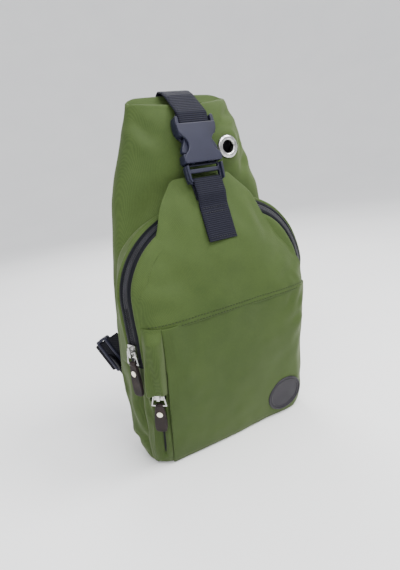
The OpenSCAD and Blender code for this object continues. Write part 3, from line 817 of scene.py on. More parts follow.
panel_stitches()
pocket_lean = math.atan2(28.0, seam_z)
pocket_zip_turn = math.radians(-36)
pocket_zip_place = (-80.5, 4.0)


def pocket_point(x, deep, up):
    """A point of the pocket's leaning frame, in the bag's frame."""
    return np.array([x, -30 + deep * math.cos(pocket_lean) - up * math.sin(pocket_lean),
                     deep * math.sin(pocket_lean) + up * math.cos(pocket_lean)])


def pocket_zip_frame(up):
    centre = pocket_point(*pocket_zip_place, up)
    along = np.array([0.0, -math.sin(pocket_lean), math.cos(pocket_lean)])
    turned = math.cos(pocket_zip_turn)
    out = np.array([math.sin(pocket_zip_turn), -turned * math.cos(pocket_lean),
                    -turned * math.sin(pocket_lean)])
    across = np.cross(along, out)
    return centre, along, across, out


def make_pocket_strip():
    rows = []
    heights = np.concatenate([[0.8, 2.5], np.linspace(6, 150, 66)])
    for up in heights:
        centre, along, across, out = pocket_zip_frame(up)
        z = centre[2]
        c, corner = pocket_corner(z)
        points = [(-corner - 1.5, c + 19, z), (-corner - 3.5, c + 2, z), (-corner - 1.2, c - 3, z)]
        turn = pocket_point(-87.9, 9.6, up)
        points.append((turn[0], turn[1], turn[2]))
        for a in (-4.5, 0.0, 7.2):
            points.append(tuple(centre + across * a + out * (1.3 if a < 5 else -0.2)))
        rows.append(smooth_line(points, 64, 2.5))
    grid = np.array(rows)
    normals = grid_normals(grid, bag_middle)
    z = grid[..., 2]
    grid = rumple(grid, normals, 24.0, 1.1, 9)
    tuck = np.exp(-((z - 1.0) / 3.0) ** 2)
    grid = grid - normals * (1.4 * tuck)[..., None]
    folds = [((-86, -46, 122), (-80, -45, 70), 1.5, 3.6), ((-89, -42, 112), (-86, -38, 66), 1.2, 4),
             ((-80, -40, 50), (-88, -28, 12), 1.5, 4.0), ((-84, -51, 136), (-86, -46, 100), 0.9, 3.0),
             ((-79, -36, 30), (-88, -25, 4), 1.2, 4), ((-90, -34, 84), (-86, -33, 44), 1.2, 4)]
    for crease in folds:
        grid = fold(grid, normals, *crease)
    for i, up in enumerate(heights):
        centre, along, across, out = pocket_zip_frame(up)
        gap = (grid[i] - centre) @ across
        rise = ease(clamp((up - 84.0) / 5.0) * clamp((149 - up) / 10.0))
        tunnel = 9.4 * rise * np.exp(-(np.abs(gap + 0.6) / 8.4) ** 4)
        grid[i] += out * tunnel[:, None]
        slit = np.exp(-((gap - 0.3) / 1.3) ** 2) * (1.0 if 12 < up < 86 else 0.0)
        lip = np.exp(-((gap + 7.0) / 2.6) ** 2) * (3.4 + 2.4 * math.exp(-((up - 96) / 20.0) ** 2)
                                                   - 2.2 * math.exp(-((up - 58) / 14.0) ** 2))
        lip = lip * clamp((132 - up) / 20.0) * min(1.0, up / 14.0)
        right = np.exp(-((gap - 5.2) / 2.0) ** 2) * 2.2 * clamp((134 - up) / 14.0) * min(1.0, up / 14.0)
        grid[i] += normals[i] * (lip + right - 2.2 * slit)[:, None]
    hem = []
    for row in grid:
        z = row[-1, 2]
        anchor = np.array([-73.4, float(soft_lookup(front_line, z, 3)) + 1.5, z])
        hem.append([row[-1] + (anchor - row[-1]) * k for k in (0.35, 0.7, 1.0)])
    grid = np.concatenate([grid, np.array(hem)], axis=1)
    obj = grid_object("pocket_strip", grid, flip=True)
    start, along, across, out = pocket_zip_frame(0)

    def in_mouth(centre):
        c = np.array(centre) / MM - start
        return 80 < c @ along < 92 and -8.5 < c @ across < 6.5 and c @ out < 6.0

    drop_faces(obj, in_mouth)
    thicken(obj, 0.9, 1.0)
    subdivide(obj)
    finish_object(obj, olive, "bag", ["pocket_side_strip"])


make_pocket_strip()


# ---------------------------------------------------------------- flap
def flap_point_rows(heights, columns):
    rows = []
    for z in heights:
        w = float(soft_lookup(tongue_width, z, 3))
        f = float(soft_lookup(flap_line, z, 3))
        side_y = float(np.interp(z, [seam_z, 165, 173, 184, 200, 225, 245, 265],
                                 [-46.5, -47.0, -46.5, -43.0, -39.5, -36.0, -32.5, -25.5]))
        power = float(np.interp(z, [seam_z, 168, 180, 200, 265], [9.0, 7.0, 4.0, 3.0, 2.6]))
        t = np.linspace(-1, 1, columns)
        t = np.sign(t) * (1 - (1 - np.abs(t)) ** 1.5)
        fuller = 5.0 * math.exp(-((z - 195) / 15.0) ** 2)
        x = w * t + fuller * np.minimum(t, 0.0)
        y = f + (side_y - f) * np.abs(t) ** power - 0.35 * fuller * np.clip(-t, 0, 1) ** 4
        rows.append(np.stack([x, y, np.full(columns, z)], axis=1))
    return np.array(rows)


def make_flap():
    heights = np.concatenate([np.linspace(seam_z, 170, 16), np.linspace(172, 262, 52), [263.5, 264.5]])
    columns = 97
    grid = flap_point_rows(heights, columns)
    edge = np.abs(np.linspace(-1, 1, columns))
    droop = np.clip((grid[..., 2] - 240) / 25, 0, 1) * edge[None, :] ** 6 * 4.0
    grid[..., 2] -= droop
    normals = grid_normals(grid, bag_middle)
    z = grid[..., 2]
    swell = np.exp(-((z - 196) / 40) ** 2) * np.clip(1 - edge[None, :] ** 3, 0, 1)
    grid = grid + normals * (1.8 * swell)[..., None]
    inside = np.clip((1 - edge[None, :]) * 9, 0, 1) * np.clip((z - seam_z) / 8, 0, 1)
    grid = rumple(grid, normals, 40.0, 3.0, 12, inside)
    grid = rumple(grid, normals, 15.0, 0.8, 13, inside)
    folds = [((-18, -34, 254), (-26, -44, 214), 1.6, 7), ((17, -34, 254), (30, -44, 208), 1.6, 7),
             ((-33, -32, 256), (-48, -46, 205), 1.1, 8), ((32, -32, 254), (56, -46, 200), 1.2, 8),
             ((84, -50, 172), (54, -57, 158), 1.5, 6), ((86, -50, 160), (64, -57, 150), 1.3, 4.5),
             ((80, -50, 178), (48, -55, 176), 1.0, 6), ((-86, -50, 166), (-60, -56, 156), 0.9, 6),
             ((-60, -50, 196), (-40, -54, 170), 0.8, 9), ((72, -55, 149), (66, -57, 160), 1.0, 3)]
    for crease in folds:
        grid = fold(grid, normals, *crease)
    obj = grid_object("flap_cloth", grid, flip=False)
    thicken(obj, 1.4)
    subdivide(obj)
    finish_object(obj, olive, None, ["flap_base", "flap_panel", "flap_lining"])
    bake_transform(obj)
    return grid


flap_grid = make_flap()


def grid_line(grid, z, shift, x_from, x_to, count=120):
    """A line across a surface at one height, moved off it by shift towards the front."""
    heights = grid[:, grid.shape[1] // 2, 2]
    row = int(np.argmin(np.abs(heights - z)))
    line = grid[row]
    order = np.argsort(line[:, 0])
    line = line[order]
    x = np.linspace(x_from, x_to, count)
    points = np.stack([x, np.interp(x, line[:, 0], line[:, 1]) - shift, np.interp(x, line[:, 0], line[:, 2])],
                      axis=1)
    return points


for row_name, row_z, row_end in (("upper", 149.5, 84), ("lower", 146.2, 85)):
    stitch_object("seam_stitch_" + row_name, grid_line(flap_grid, row_z, 0.15, -row_end, row_end),
                  (0, -1, 0), "bag", olive_thread)


# ---------------------------------------------------------------- dome
def make_dome():
    rows = []
    for s in np.linspace(zip_leg * 0.45, zip_length - zip_leg * 0.45, 90):
        centre, along, across, out = zip_frame(s)
        edge = centre - across * 8.0
        heart = np.array([edge[0] * 0.25, -44.5, 154.0])
        row = []
        for k in np.linspace(0, 1, 30):
            p = edge + (heart - edge) * k
            sink = min(1.0, k * 5.0)
            p[1] = edge[1] + (heart[1] - edge[1]) * k ** 0.8 + 3.2 * sink * (1 - k) ** 0.6
            row.append(p)
        rows.append(row)
    grid = np.array(rows)
    normals = grid_normals(grid, bag_middle)
    grid = rumple(grid, normals, 16.0, 0.8, 20)
    cloth_sheet("dome_cloth", grid, ["dome_panel"], 1.2, 1.0, False, flip=True)


make_dome()


# ---------------------------------------------------------------- main zip
def make_zip_band(name, low, high, node, crown):
    """One tape of the main zip, between two distances across it."""
    rows = []
    for s in np.linspace(0, zip_length, 220):
        centre, along, across, out = zip_frame(s)
        row = []
        profile = [(low, -0.9), (low, 0.0)]
        for k in np.linspace(0.12, 0.88, 6):
            profile.append((low + (high - low) * k, crown * math.sin(math.pi * k) ** 0.6))
        profile += [(high, 0.0), (high, -0.9)]
        for a, h in profile:
            row.append(centre + across * a + out * h)
        rows.append(row)
    obj = grid_object(name, np.array(rows), round_columns=True)
    add_caps(obj, 10, -1)
    subdivide(obj)
    return finish_object(obj, zip_tape, "bag", [node])


make_zip_band("zip_tape_outer", 0.9, 8.0, "main_zip_outer_tape", 2.1)
make_zip_band("zip_tape_inner", -8.0, -0.9, "main_zip_inner_tape", 2.1)


def body_half(y, z):
    """The body's half-width at one depth and height."""
    w, y_front, y_back, middle, power = body_profile(z)
    share = min(0.99, (y - middle) / (y_back - middle) if y > middle else (middle - y) / (middle - y_front))
    return w * (1 - share ** power) ** (1 / power)


def make_welt(name, side, seed):
    """A turned cloth edge beside the zip, running back into the bag's side or into the dome."""
    rows = []
    back = np.array([0.0, 1.0, 0.0])
    for s in np.linspace(-2, zip_length + 2, 150):
        centre, along, across, out = zip_frame(s)
        radial = np.cross(back, along)
        radial = radial if radial @ out > 0 else -radial
        top = clamp((centre[2] - arch_base) / 50.0)
        over = ease((centre[2] - arch_base - 24.0) / 34.0)
        if side > 0:
            row = [across * a + out * h for a, h in ((7.3, -1.0), (7.5, 1.0), (9.0, 1.7), (11.0, 1.0))]
            row += [radial * (2.0 + 4.0 * top) + back * (14 - 4 * top),
                    radial * (0.5 + 5.5 * top) + back * (22 - 6 * top),
                    radial * (-2 + 5 * top) + back * (32 - 8 * top)]
            hand = 1.0 if centre[0] > 0 else -1.0
            z = centre[2]
            reach = [np.array([hand * (0.4 * abs(centre[0]) + 0.6 * body_half(-4, z) + 2.2), -20.0, z]),
                     np.array([hand * (body_half(-4, z) + 1.2), -5.0, z]),
                     np.array([hand * (body_half(6, z) - 2.0), 6.0, z])]
            for k in range(3):
                row[4 + k] = row[4 + k] * over + (reach[k] - centre) * (1 - over)
        else:
            row = [-across * a + out * h for a, h in
                   ((7.3, -1.0), (7.5, 1.0), (9.0, 1.4), (11.5, 0.3), (15.0, -2.6), (18.0, -6.0))]
        rows.append(smooth_line([tuple(centre + p) for p in row], 24, 1.6))
    grid = np.array(rows)
    normals = grid_normals(grid, bag_middle)
    grid = rumple(grid, normals, 20.0, 0.6, seed)
    cloth_sheet(name, grid, [], 1.0, 0.0)


make_welt("zip_welt_outer", 1, 31)
make_welt("zip_welt_inner", -1, 32)


def tooth_row(name, place_at, length, side, pitch, body, node):
    """Coil teeth: small rounded loops side by side along a zip."""
    points, faces = [], []
    count = int(length / pitch)
    for i in range(count):
        centre, along, across, out = place_at((i + (0.5 if side > 0 else 0.0)) * pitch)
        middle = centre + across * side * 1.35 + out * 1.0
        start = len(points)
        for a, r in ((-1.35, 0.35), (-0.8, 0.9), (0.5, 0.95), (1.25, 0.45)):
            for k in range(6):
                turn = k * math.pi / 3
                points.append(middle + across * side * a
                              + along * math.cos(turn) * 0.42 * r * pitch
                              + out * math.sin(turn) * 0.85 * r)
        faces += bead_faces(start)
    obj = mesh_object(name, points, faces)
    return finish_object(obj, coil_plastic, body, [node])


def make_stops():
    parts = []
    for s in (6.0, zip_length - 6.0):
        centre, along, across, out = zip_frame(s)
        place = set_place(across, along, out, (centre + out * 1.3) * MM)
        parts.append(plate_object("plate", [box_outline(-2.6, 2.6, -1.4, 1.4, 0.7)], -1.0, 1.0, 0.4, place))
    stops = join_objects("zip_end_stops", parts)
    return finish_object(stops, nickel, "bag", ["main_zip_stops"])


tooth_row("zip_teeth_outer", zip_frame, zip_length, 1, 1.5, "bag", "main_zip_outer_coil")
tooth_row("zip_teeth_inner", zip_frame, zip_length, -1, 1.5, "bag", "main_zip_inner_coil")


# ---------------------------------------------------------------- round patch
def make_patch():
    """A moulded rubber badge with a double rim and a plain middle."""
    column = int(np.argmin(np.abs(pocket_grid[20, :, 0] - 58.0)))
    row = int(np.argmin(np.abs(pocket_grid[:, column, 2] - 26.5)))
    centre = pocket_grid[row, column]
    up = pocket_grid[row + 5, column] - pocket_grid[row - 5, column]
    side = pocket_grid[row, column - 5] - pocket_grid[row, column + 5]
    out = np.cross(side, up)
    out = unit(out)
    if out[1] > 0:
        out = -out
    up = unit(up)
    side = np.cross(up, out)
    place = set_place(side, up, out, centre * MM + out * 0.0004)
    profile = [(0.0, -0.8), (20.6, -0.8), (21.0, 0.2), (21.0, 1.3), (20.6, 1.9), (19.8, 2.1), (19.1, 1.8),
               (18.8, 1.25), (18.3, 1.1), (18.0, 1.5), (17.5, 1.7), (17.0, 1.5), (16.7, 1.1), (16.3, 1.0),
               (15.6, 1.0), (12.0, 1.05), (8.0, 1.1), (4.0, 1.12), (0.0, 1.12)]
    disc = ring_profile("patch_badge", profile, place, 96)
    return finish_object(disc, patch_rubber, "bag", ["round_patch"])


# ---------------------------------------------------------------- buckle
buckle_lean = math.radians(12)
buckle_seat = Matrix(((1, 0, 0, 0), (0, math.sin(buckle_lean), -math.cos(buckle_lean), -0.033),
                      (0, math.cos(buckle_lean), math.sin(buckle_lean), 0.274), (0, 0, 0, 1)))


def buckle_point(out, up):
    """A point of the buckle's middle plane: out towards the viewer, up along the buckle."""
    place = buckle_seat @ Vector((0, up * MM, out * MM))
    return np.array([place.x, place.y, place.z]) / MM


def both_sides(half):
    """A closed outline from its right half, listed from the bottom up."""
    return half + mirrored(half)


def join_objects(name, parts):
    points, faces = [], []
    for part in parts:
        start = len(points)
        points += [tuple(v.co) for v in part.data.vertices]
        faces += [tuple(start + i for i in f.vertices) for f in part.data.polygons]
        bpy.data.objects.remove(part)
    mesh = bpy.data.meshes.new(name)
    mesh.from_pydata(points, [], faces)
    return linked(name, mesh)


def moulded(name, place, plates):
    """One moulded piece from plates, each (outlines, low, high, bevel)."""
    return join_objects(name, [plate_object("plate", *plate, place) for plate in plates])


def mirrored(outline):
    return [(-corner[0],) + tuple(corner[1:]) for corner in outline[::-1]]


def box_outline(x_from, x_to, y_from, y_to, radius):
    return rounded_outline([(x_from, y_from), (x_to, y_from), (x_to, y_to), (x_from, y_to)], radius)


def arc_points(cx, cy, r, start, end, steps, flat=1.0):
    out = []
    for k in range(steps + 1):
        turn = math.radians(start + (end - start) * k / steps)
        out.append((cx + r * math.cos(turn) * flat, cy + r * math.sin(turn), 0.4))
    return out


def make_buckle():
    waist = arc_points(19.6, 16.2, 8.3, 238, 122, 12, 0.95)
    face_half = [(18.2, 0.2, 2.4), (19.0, 5.0, 2.0)] + waist
    face_half += [(18.6, 27.2, 1.5), (19.2, 33.0, 1.5), (18.6, 34.6, 1.0)]
    face = rounded_outline(both_sides(face_half), 1.5)
    post = [(15.2, 0.6), (18.4, 0.6), (18.9, 6.0), (18.2, 8.6), (15.2, 8.6)]
    block = both_sides([(15.6, 23.6), (17.4, 24.2), (18.6, 28.0), (19.0, 34.0), (15.6, 34.2)])
    ear = [(15.7, 30.0), (19.0, 30.0), (19.3, 36.0), (18.7, 40.6, 1.6), (17.0, 41.4, 1.4), (15.7, 40.0, 1.0)]
    bar = both_sides([(16.5, 33.1), (16.5, 35.9)])
    window = box_outline(-12.5, 12.5, 25.5, 27.6, 0.9)
    plates = [([face], 3.0, 5.6, 0.8), ([face, window], -5.6, -3.0, 0.8),
              ([rounded_outline(post, 0.8)], -4.6, 4.6, 0.5),
              ([rounded_outline(mirrored(post), 0.8)], -4.6, 4.6, 0.5),
              ([rounded_outline(block, 0.8)], -4.6, 4.6, 0.5),
              ([rounded_outline(ear, 0.8)], -4.9, 4.9, 0.9),
              ([rounded_outline(mirrored(ear), 0.8)], -4.9, 4.9, 0.9),
              ([rounded_outline(bar, 0.9)], -1.4, 1.4, 0.7)]
    finish_object(moulded("buckle_socket_body", buckle_seat, plates), buckle_plastic, "bag", ["buckle_socket"])

    frame_half = [(16.6, -17.2, 2.6), (18.3, -12.0, 1.5), (18.5, -0.7, 1.0)]
    outline = rounded_outline(both_sides(frame_half), 1.2)
    slots = [rounded_outline(both_sides([(14.4, low), (14.4, high)]), 0.7)
             for low, high in ((-4.3, -1.9), (-13.4, -7.9))]
    rail = [(15.7, -16.4), (17.6, -13.0), (18.2, -1.2), (15.9, -1.2)]
    plates = [([outline] + slots, -1.5, 1.5, 0.7), ([rounded_outline(rail, 0.9)], -4.9, 4.9, 1.0),
              ([rounded_outline(mirrored(rail), 0.9)], -4.9, 4.9, 1.0)]
    finish_object(moulded("buckle_plug_body", buckle_seat, plates), buckle_plastic, "plug", ["buckle_plug"])

    arm = [(7.6, 0.2), (11.0, 0.2), (12.0, 8.6), (16.5, 9.4), (18.2, 10.8), (17.3, 14.2), (14.6, 19.0),
           (13.0, 23.0), (11.6, 24.0), (9.8, 23.4), (8.6, 12.0)]
    for side, shape in (("right", arm), ("left", mirrored(arm))):
        prong = plate_object("latch_prong_" + side, [rounded_outline(shape, 1.2)], -2.6, 2.6, 0.8, buckle_seat)
        finish_object(prong, buckle_plastic, "arm_" + side, ["latch_arm_" + side])


make_patch()
make_buckle()


# ---------------------------------------------------------------- webbing at the top and on the flap
def belt(name, corners, material, body, nodes, width=30.0, thickness=1.6, count=120, soft=3.0):
    """Webbing along a path in the bag's middle plane, given as (y, z)."""
    path = smooth_line([(0.0, y, z) for y, z in corners], count, soft)
    tangent = tangents(path)
    side = np.broadcast_to(np.array([1.0, 0, 0]), path.shape)
    normal = np.cross(side, tangent)
    obj = ribbon_object(name, path, side, normal, width, thickness, 0.0, 9)
    finish_object(obj, material, body, nodes)


def flap_front(z):
    """The flap cloth's y on the middle line at one height."""
    column = flap_grid.shape[1] // 2
    return float(np.interp(z, flap_grid[:, column, 2], flap_grid[:, column, 1]))


def make_webbing():
    front = [buckle_point(2.3, 44), buckle_point(2.3, 40), buckle_point(2.5, 37.5)]
    turn = [buckle_point(2.6 * math.cos(math.radians(a)), 34.5 - 2.6 * math.sin(math.radians(a)))
            for a in range(0, 181, 30)]
    tail = [buckle_point(-1.6, 38), buckle_point(-0.2, 43), buckle_point(0.4, 47)]
    corners = [(17.5, 308), (15.0, 320), (13.2, 331), (10.8, 338.2), (6.0, 341.2), (0.0, 339.6), (-7.0, 335.2),
               (-13.0, 329.6)]
    corners += [(p[1], p[2]) for p in front + turn + tail]
    belt("top_strap", corners, webbing, "bag", ["top_webbing"], 30.0, 1.7, 150, 2.2)
    lower = [(flap_front(z) - 1.4, z) for z in (207.5, 214, 222, 230, 238)]
    front = [buckle_point(4.2, -27), buckle_point(3.2, -21)]
    turn = [buckle_point(2.5 * math.cos(math.radians(a)), -15 + 2.5 * math.sin(math.radians(a)))
            for a in range(0, 181, 30)]
    tail = [buckle_point(-1.9, -19), buckle_point(-0.6, -25), buckle_point(0.6, -31)]
    path = lower + [(p[1], p[2]) for p in front + turn + tail]
    belt("flap_strap", path, webbing, "flap", ["flap_webbing"], 29.0, 1.7, 150, 2.5)
    for z in (210.5, 232.0, 236.0):
        y = flap_front(z) - 2.45
        row = np.stack([np.linspace(-12.6, 12.6, 40), np.full(40, y), np.full(40, z)], axis=1)
        stitch_object("strap_stitch_%d" % z, row, (0, -1, 0), "flap", black_thread, 2.4, 1.7, 0.28)


make_webbing()


# ---------------------------------------------------------------- eyelet
def make_eyelet():
    centre = np.array([eyelet_x, eyelet_y - 0.4, eyelet_z]) * MM
    place = set_place((1, 0, 0), (0, 0, 1), (0, -1, 0), centre)
    profile = [(5.5, -2.6), (6.2, -2.9), (6.4, -0.6), (10.2, -0.6), (10.7, -0.2), (10.6, 0.5), (9.9, 1.3),
               (8.7, 1.95), (7.5, 2.1), (6.4, 1.7), (5.8, 1.0), (5.5, 0.0)]
    ring = ring_profile("eyelet_ring", profile, place, 72)
    finish_object(ring, nickel, "bag", ["eyelet"])


make_eyelet()


# ---------------------------------------------------------------- pulls
def make_pull(name, tab_node, rivet_node, body, out, up, length_up, length_down):
    low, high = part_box(rivet_node)
    centre = Vector([(low[i] + high[i]) / 2 for i in range(3)])
    out = Vector(out).normalized()
    up = Vector(up).normalized()
    side = up.cross(out)
    place = set_place(side, up, out, centre)
    half = [(4.4, -length_down, 3.2), (5.7, -length_down + 4.5, 3.0), (5.6, -6.0, 3.0), (4.6, 2.0, 2.0),
            (3.4, length_up, 1.8)]
    shape = rounded_outline(both_sides(half), 2.0)
    front = plate_object("plate", [shape], 0.05, 1.5, 0.55, place)
    back = plate_object("plate", [shape], -1.5, -0.05, 0.55, place)
    top = place @ Matrix.Translation((0, (length_up - 0.2) * MM, 0)) @ Matrix.Rotation(math.pi / 2, 4, "Y")
    fold = ring_profile("plate", [(1.2, -3.3), (2.15, -3.0), (2.3, 0), (2.15, 3.0), (1.2, 3.3)], top, 32)
    pull = join_objects(name, [front, back, fold])
    finish_object(pull, leather, body, [tab_node])
    row = [place @ Vector((x * MM, y * MM, 1.5 * MM)) for x, y in
           rounded_outline(both_sides([(3.4, -length_down + 1.4, 2.4), (4.5, -length_down + 5, 2.4),
                                       (4.4, -6.5, 2.0), (3.7, 0.5, 2.0)]), 2.0, 7)]
    row = np.array([[q.x / MM, q.y / MM, q.z / MM] for q in row])
    stitch_object(name + "_stitch", row, tuple(out), body, black_thread, 1.6, 1.1, 0.16)


main_out = zip_frame(0)[3]
make_pull("main_pull_leather", "main_pull_tab", "main_pull_rivet", "main_tab", main_out, (0, 0, 1), 9.0, 21.5)
slit_out = pocket_zip_frame(60)[3]
slit_up = pocket_zip_frame(60)[1]
make_stops()
make_pull("pocket_pull_leather", "pocket_pull_tab", "pocket_pull_rivet", "pocket_tab", slit_out, slit_up,
          9.0, 20.0)


# ---------------------------------------------------------------- pocket zip under the cloth
def make_pocket_band():
    rows = []
    half = [(1.2, -0.7), (3.2, -1.0), (3.4, -2.2)]
    section = mirrored(half) + [(0.0, -1.1)] + half
    for up in np.linspace(14, 134, 90):
        centre, along, across, out = pocket_zip_frame(up)
        rows.append([centre + across * a + out * h for a, h in section])
    obj = grid_object("pocket_zip_band", np.array(rows), round_columns=True)
    add_caps(obj, 7, -1)
    finish_object(obj, zip_tape, "bag", ["pocket_zip_" + part for part in
                                         ("outer_tape", "inner_tape", "outer_coil", "inner_coil", "stops")])


make_pocket_band()


# ---------------------------------------------------------------- padded back and shoulder pad
def swell_pad(obj, cap, pressure=4.0):
    """Blow a closed pad up a little with cloth, keeping each point within cap of where it was."""
    scene = bpy.context.scene
    before = [v.co.copy() for v in obj.data.vertices]
    cloth = obj.modifiers.new("cloth", "CLOTH")
    cloth.settings.quality = 5
    cloth.settings.mass = 0.3
    cloth.settings.use_pressure = True
    cloth.settings.uniform_pressure_force = pressure
    cloth.settings.effector_weights.gravity = 0.0
    cloth.collision_settings.use_collision = False
    for step in range(1, 21):
        scene.frame_set(step)
        bpy.context.view_layer.update()
    bake_mesh(obj)
    scene.frame_set(1)
    for v, start in zip(obj.data.vertices, before):
        move = v.co - start
        if move.length > cap:
            v.co = start + move * (cap / move.length)
    subdivide(obj)
    return obj


def bake_mesh(obj):
    """Turn an object's modifiers into its mesh."""
    graph = bpy.context.evaluated_depsgraph_get()
    mesh = bpy.data.meshes.new_from_object(obj.evaluated_get(graph))
    obj.modifiers.clear()
    obj.data = mesh


def back_surface(x, z):
    """The back of the body shell at one place."""
    w, _, y_back, middle, power = body_profile(z)
    share = min(0.999, abs(x) / w)
    return middle + (y_back - middle) * (1 - share ** power) ** (1 / power)


def make_back_pad(name, z_low, z_high, inset, thick, nodes, groove):
    """A padded panel on the back: a closed crowned form with sewn channels across it."""
    rows_back, rows_front = [], []
    heights = np.linspace(z_low, z_high, 74)
    across = np.linspace(-1, 1, 51)
    for z in heights:
        w = float(soft_lookup(width_line, z, 4)) - inset
        end = min(z - z_low, z_high - z)
        w -= 12 * (1 - min(1.0, end / 14.0)) ** 2
        back, front = [], []
        for u in across:
            x = w * u
            rim = min(1.0, (1 - abs(u)) * w / 9.0, end / 9.0 + 0.02)
            crown = thick * max(0.0, 1 - (1 - rim) ** 2) ** 0.5
            base = back_surface(x, z)
            back.append((x, base + 0.6 + crown, z))
            front.append((x, base - 1.6, z))
        rows_back.append(back)
        rows_front.append(front)
    grid = np.concatenate([np.array(rows_back), np.array(rows_front)[:, ::-1]], axis=1)
    obj = grid_object(name, grid, round_columns=True)
    add_caps(obj, grid.shape[1])
    swell_pad(obj, 0.004)
    bake_mesh(obj)
    for v in obj.data.vertices:
        x, y, z = (c / MM for c in v.co)
        base = back_surface(x, min(max(z, 2), 330))
        if y < base + 0.8:
            continue
        cut = max(math.exp(-((z - g) / 2.6) ** 2) for g in groove)
        cut = max(cut, math.exp(-((abs(x) - 26 - 0.06 * z) / 2.6) ** 2) if 60 < z < 250 else 0.0)
        v.co.y -= MM * cut * min(6.0, max(0.0, y - base - 3.4))
    obj.data.update()
    finish_object(obj, air_mesh, "bag", nodes)
    return obj


make_back_pad("back_pad", 14.0, 304.0, 4.0, 9.5, ["back_panel", "back_foam"],
              (62.0, 116.0, 170.0, 224.0, 262.0))


def make_strap_pad():
    corners = [(13.5, 303), (20, 313), (30, 316), (39, 309), (47, 292), (52, 268), (54, 240), (52.5, 205),
               (49.5, 172)]
    path = smooth_line([(0.0, y, z) for y, z in corners], 90, 2.0)
    tangent = tangents(path)
    side = np.broadcast_to(np.array([1.0, 0, 0]), path.shape)
    normal = np.cross(side, tangent)
    share = np.linspace(0, 1, len(path))
    width = 50 - 10 * np.clip((share - 0.86) / 0.14, 0, 1) ** 2 - 3 * np.clip((0.08 - share) / 0.08, 0, 1)
    obj = ribbon_object("strap_pad_body", path, side, normal, width, 4.6, 1.2, 21)
    swell_pad(obj, 0.002, 3.0)
    bake_mesh(obj)
    for v in obj.data.vertices:
        p = np.array(v.co) / MM
        near = int(np.argmin(((path[:, 1:] - p[1:]) ** 2).sum(axis=1)))
        half = width[near] / 2
        seam = math.exp(-((abs(p[0]) - (half - 6.0)) / 1.3) ** 2)
        lift = float((p - path[near]) @ normal[near])
        move = -normal[near] * lift * 0.42 * seam
        v.co += Vector(move * MM)
    obj.data.update()
    finish_object(obj, air_mesh, "bag", ["strap_pad"])
    for side_sign in (-1, 1):
        row = path[3:-3].copy()
        row[:, 0] = side_sign * (width[3:-3] / 2 - 6.0)
        row += normal[3:-3] * 1.9
        stitch_object("pad_stitch_%s" % ("left" if side_sign < 0 else "right"), row, normal[30], "bag",
                      black_thread, 3.0, 2.2, 0.3)


make_strap_pad()

# ---------------------------------------------------------------- strap, side tab and slider
def band_along(name, path, sides, material, body, nodes, width=29.0, thickness=1.6):
    """Webbing along a path whose width turns with it."""
    path = np.asarray(path, dtype=float)
    tangent = tangents(path)
    sides = np.asarray(sides, dtype=float)
    sides = sides - tangent * (sides * tangent).sum(axis=1, keepdims=True)
    sides /= np.linalg.norm(sides, axis=1, keepdims=True)
    normal = np.cross(sides, tangent)
    obj = ribbon_object(name, path, sides, normal, width, thickness, 0.0, 9)
    return finish_object(obj, material, body, nodes)


tab_root = np.array([-87.0, 20.5, 112.5])
tab_fold = np.array([-104.0, 36.0, 100.0])
tab_run = unit(tab_fold - tab_root)
tab_width = np.array([0.0, 0.0, 1.0]) - tab_run * tab_run[2]
tab_width = unit(tab_width)
tab_face = np.cross(tab_width, tab_run)


def make_side_tab():
    reach = float(np.linalg.norm(tab_fold - tab_root))
    points = []
    for d, h in ((-2, -1.4), (6, -1.5), (12, -1.9), (reach - 5, -2.5)):
        points.append(tab_root + tab_run * d + tab_face * h)
    for a in range(-60, 61, 30):
        turn = math.radians(a)
        points.append(tab_root + tab_run * (reach - 2.6 + 2.4 * math.cos(turn))
                      + tab_face * 2.6 * math.sin(turn))
    for d, h in ((reach - 5, 2.5), (12, 1.9), (6, 1.5), (-2, 1.4)):
        points.append(tab_root + tab_run * d + tab_face * h)
    path = smooth_line([tuple(p) for p in points], 90, 1.2)
    sides = np.broadcast_to(tab_width, path.shape)
    band_along("side_loop", path, sides, side_webbing, "bag", ["side_tab"], 30.0, 1.6)
    for d in (5.0, 7.6):
        start = tab_root + tab_run * d
        row = np.array([start + tab_width * w - tab_face * 2.45 for w in np.linspace(-13, 13, 30)])
        stitch_object("side_stitch_%d" % d, row, tuple(-tab_face), "bag", black_thread, 2.2, 1.6, 0.26)


def make_side_ring():
    centre = (tab_root + tab_run * 14.5) * MM
    place = set_place(tab_width, tab_run, tab_face, centre)
    outer = box_outline(-18.4, 18.4, -5.6, 7.4, 2.2)
    inner = box_outline(-15.7, 15.7, -2.6, 4.4, 1.0)
    plates = [([outer, inner], -4.2, -1.0, 1.3), ([outer, inner], 1.0, 4.2, 1.3),
              ([box_outline(-18.2, -15.9, -4.6, 6.4, 0.8)], -3.4, 3.4, 0.6),
              ([box_outline(15.9, 18.2, -4.6, 6.4, 0.8)], -3.4, 3.4, 0.6)]
    finish_object(moulded("side_ring", place, plates), buckle_plastic, "bag", ["strap_ring"])


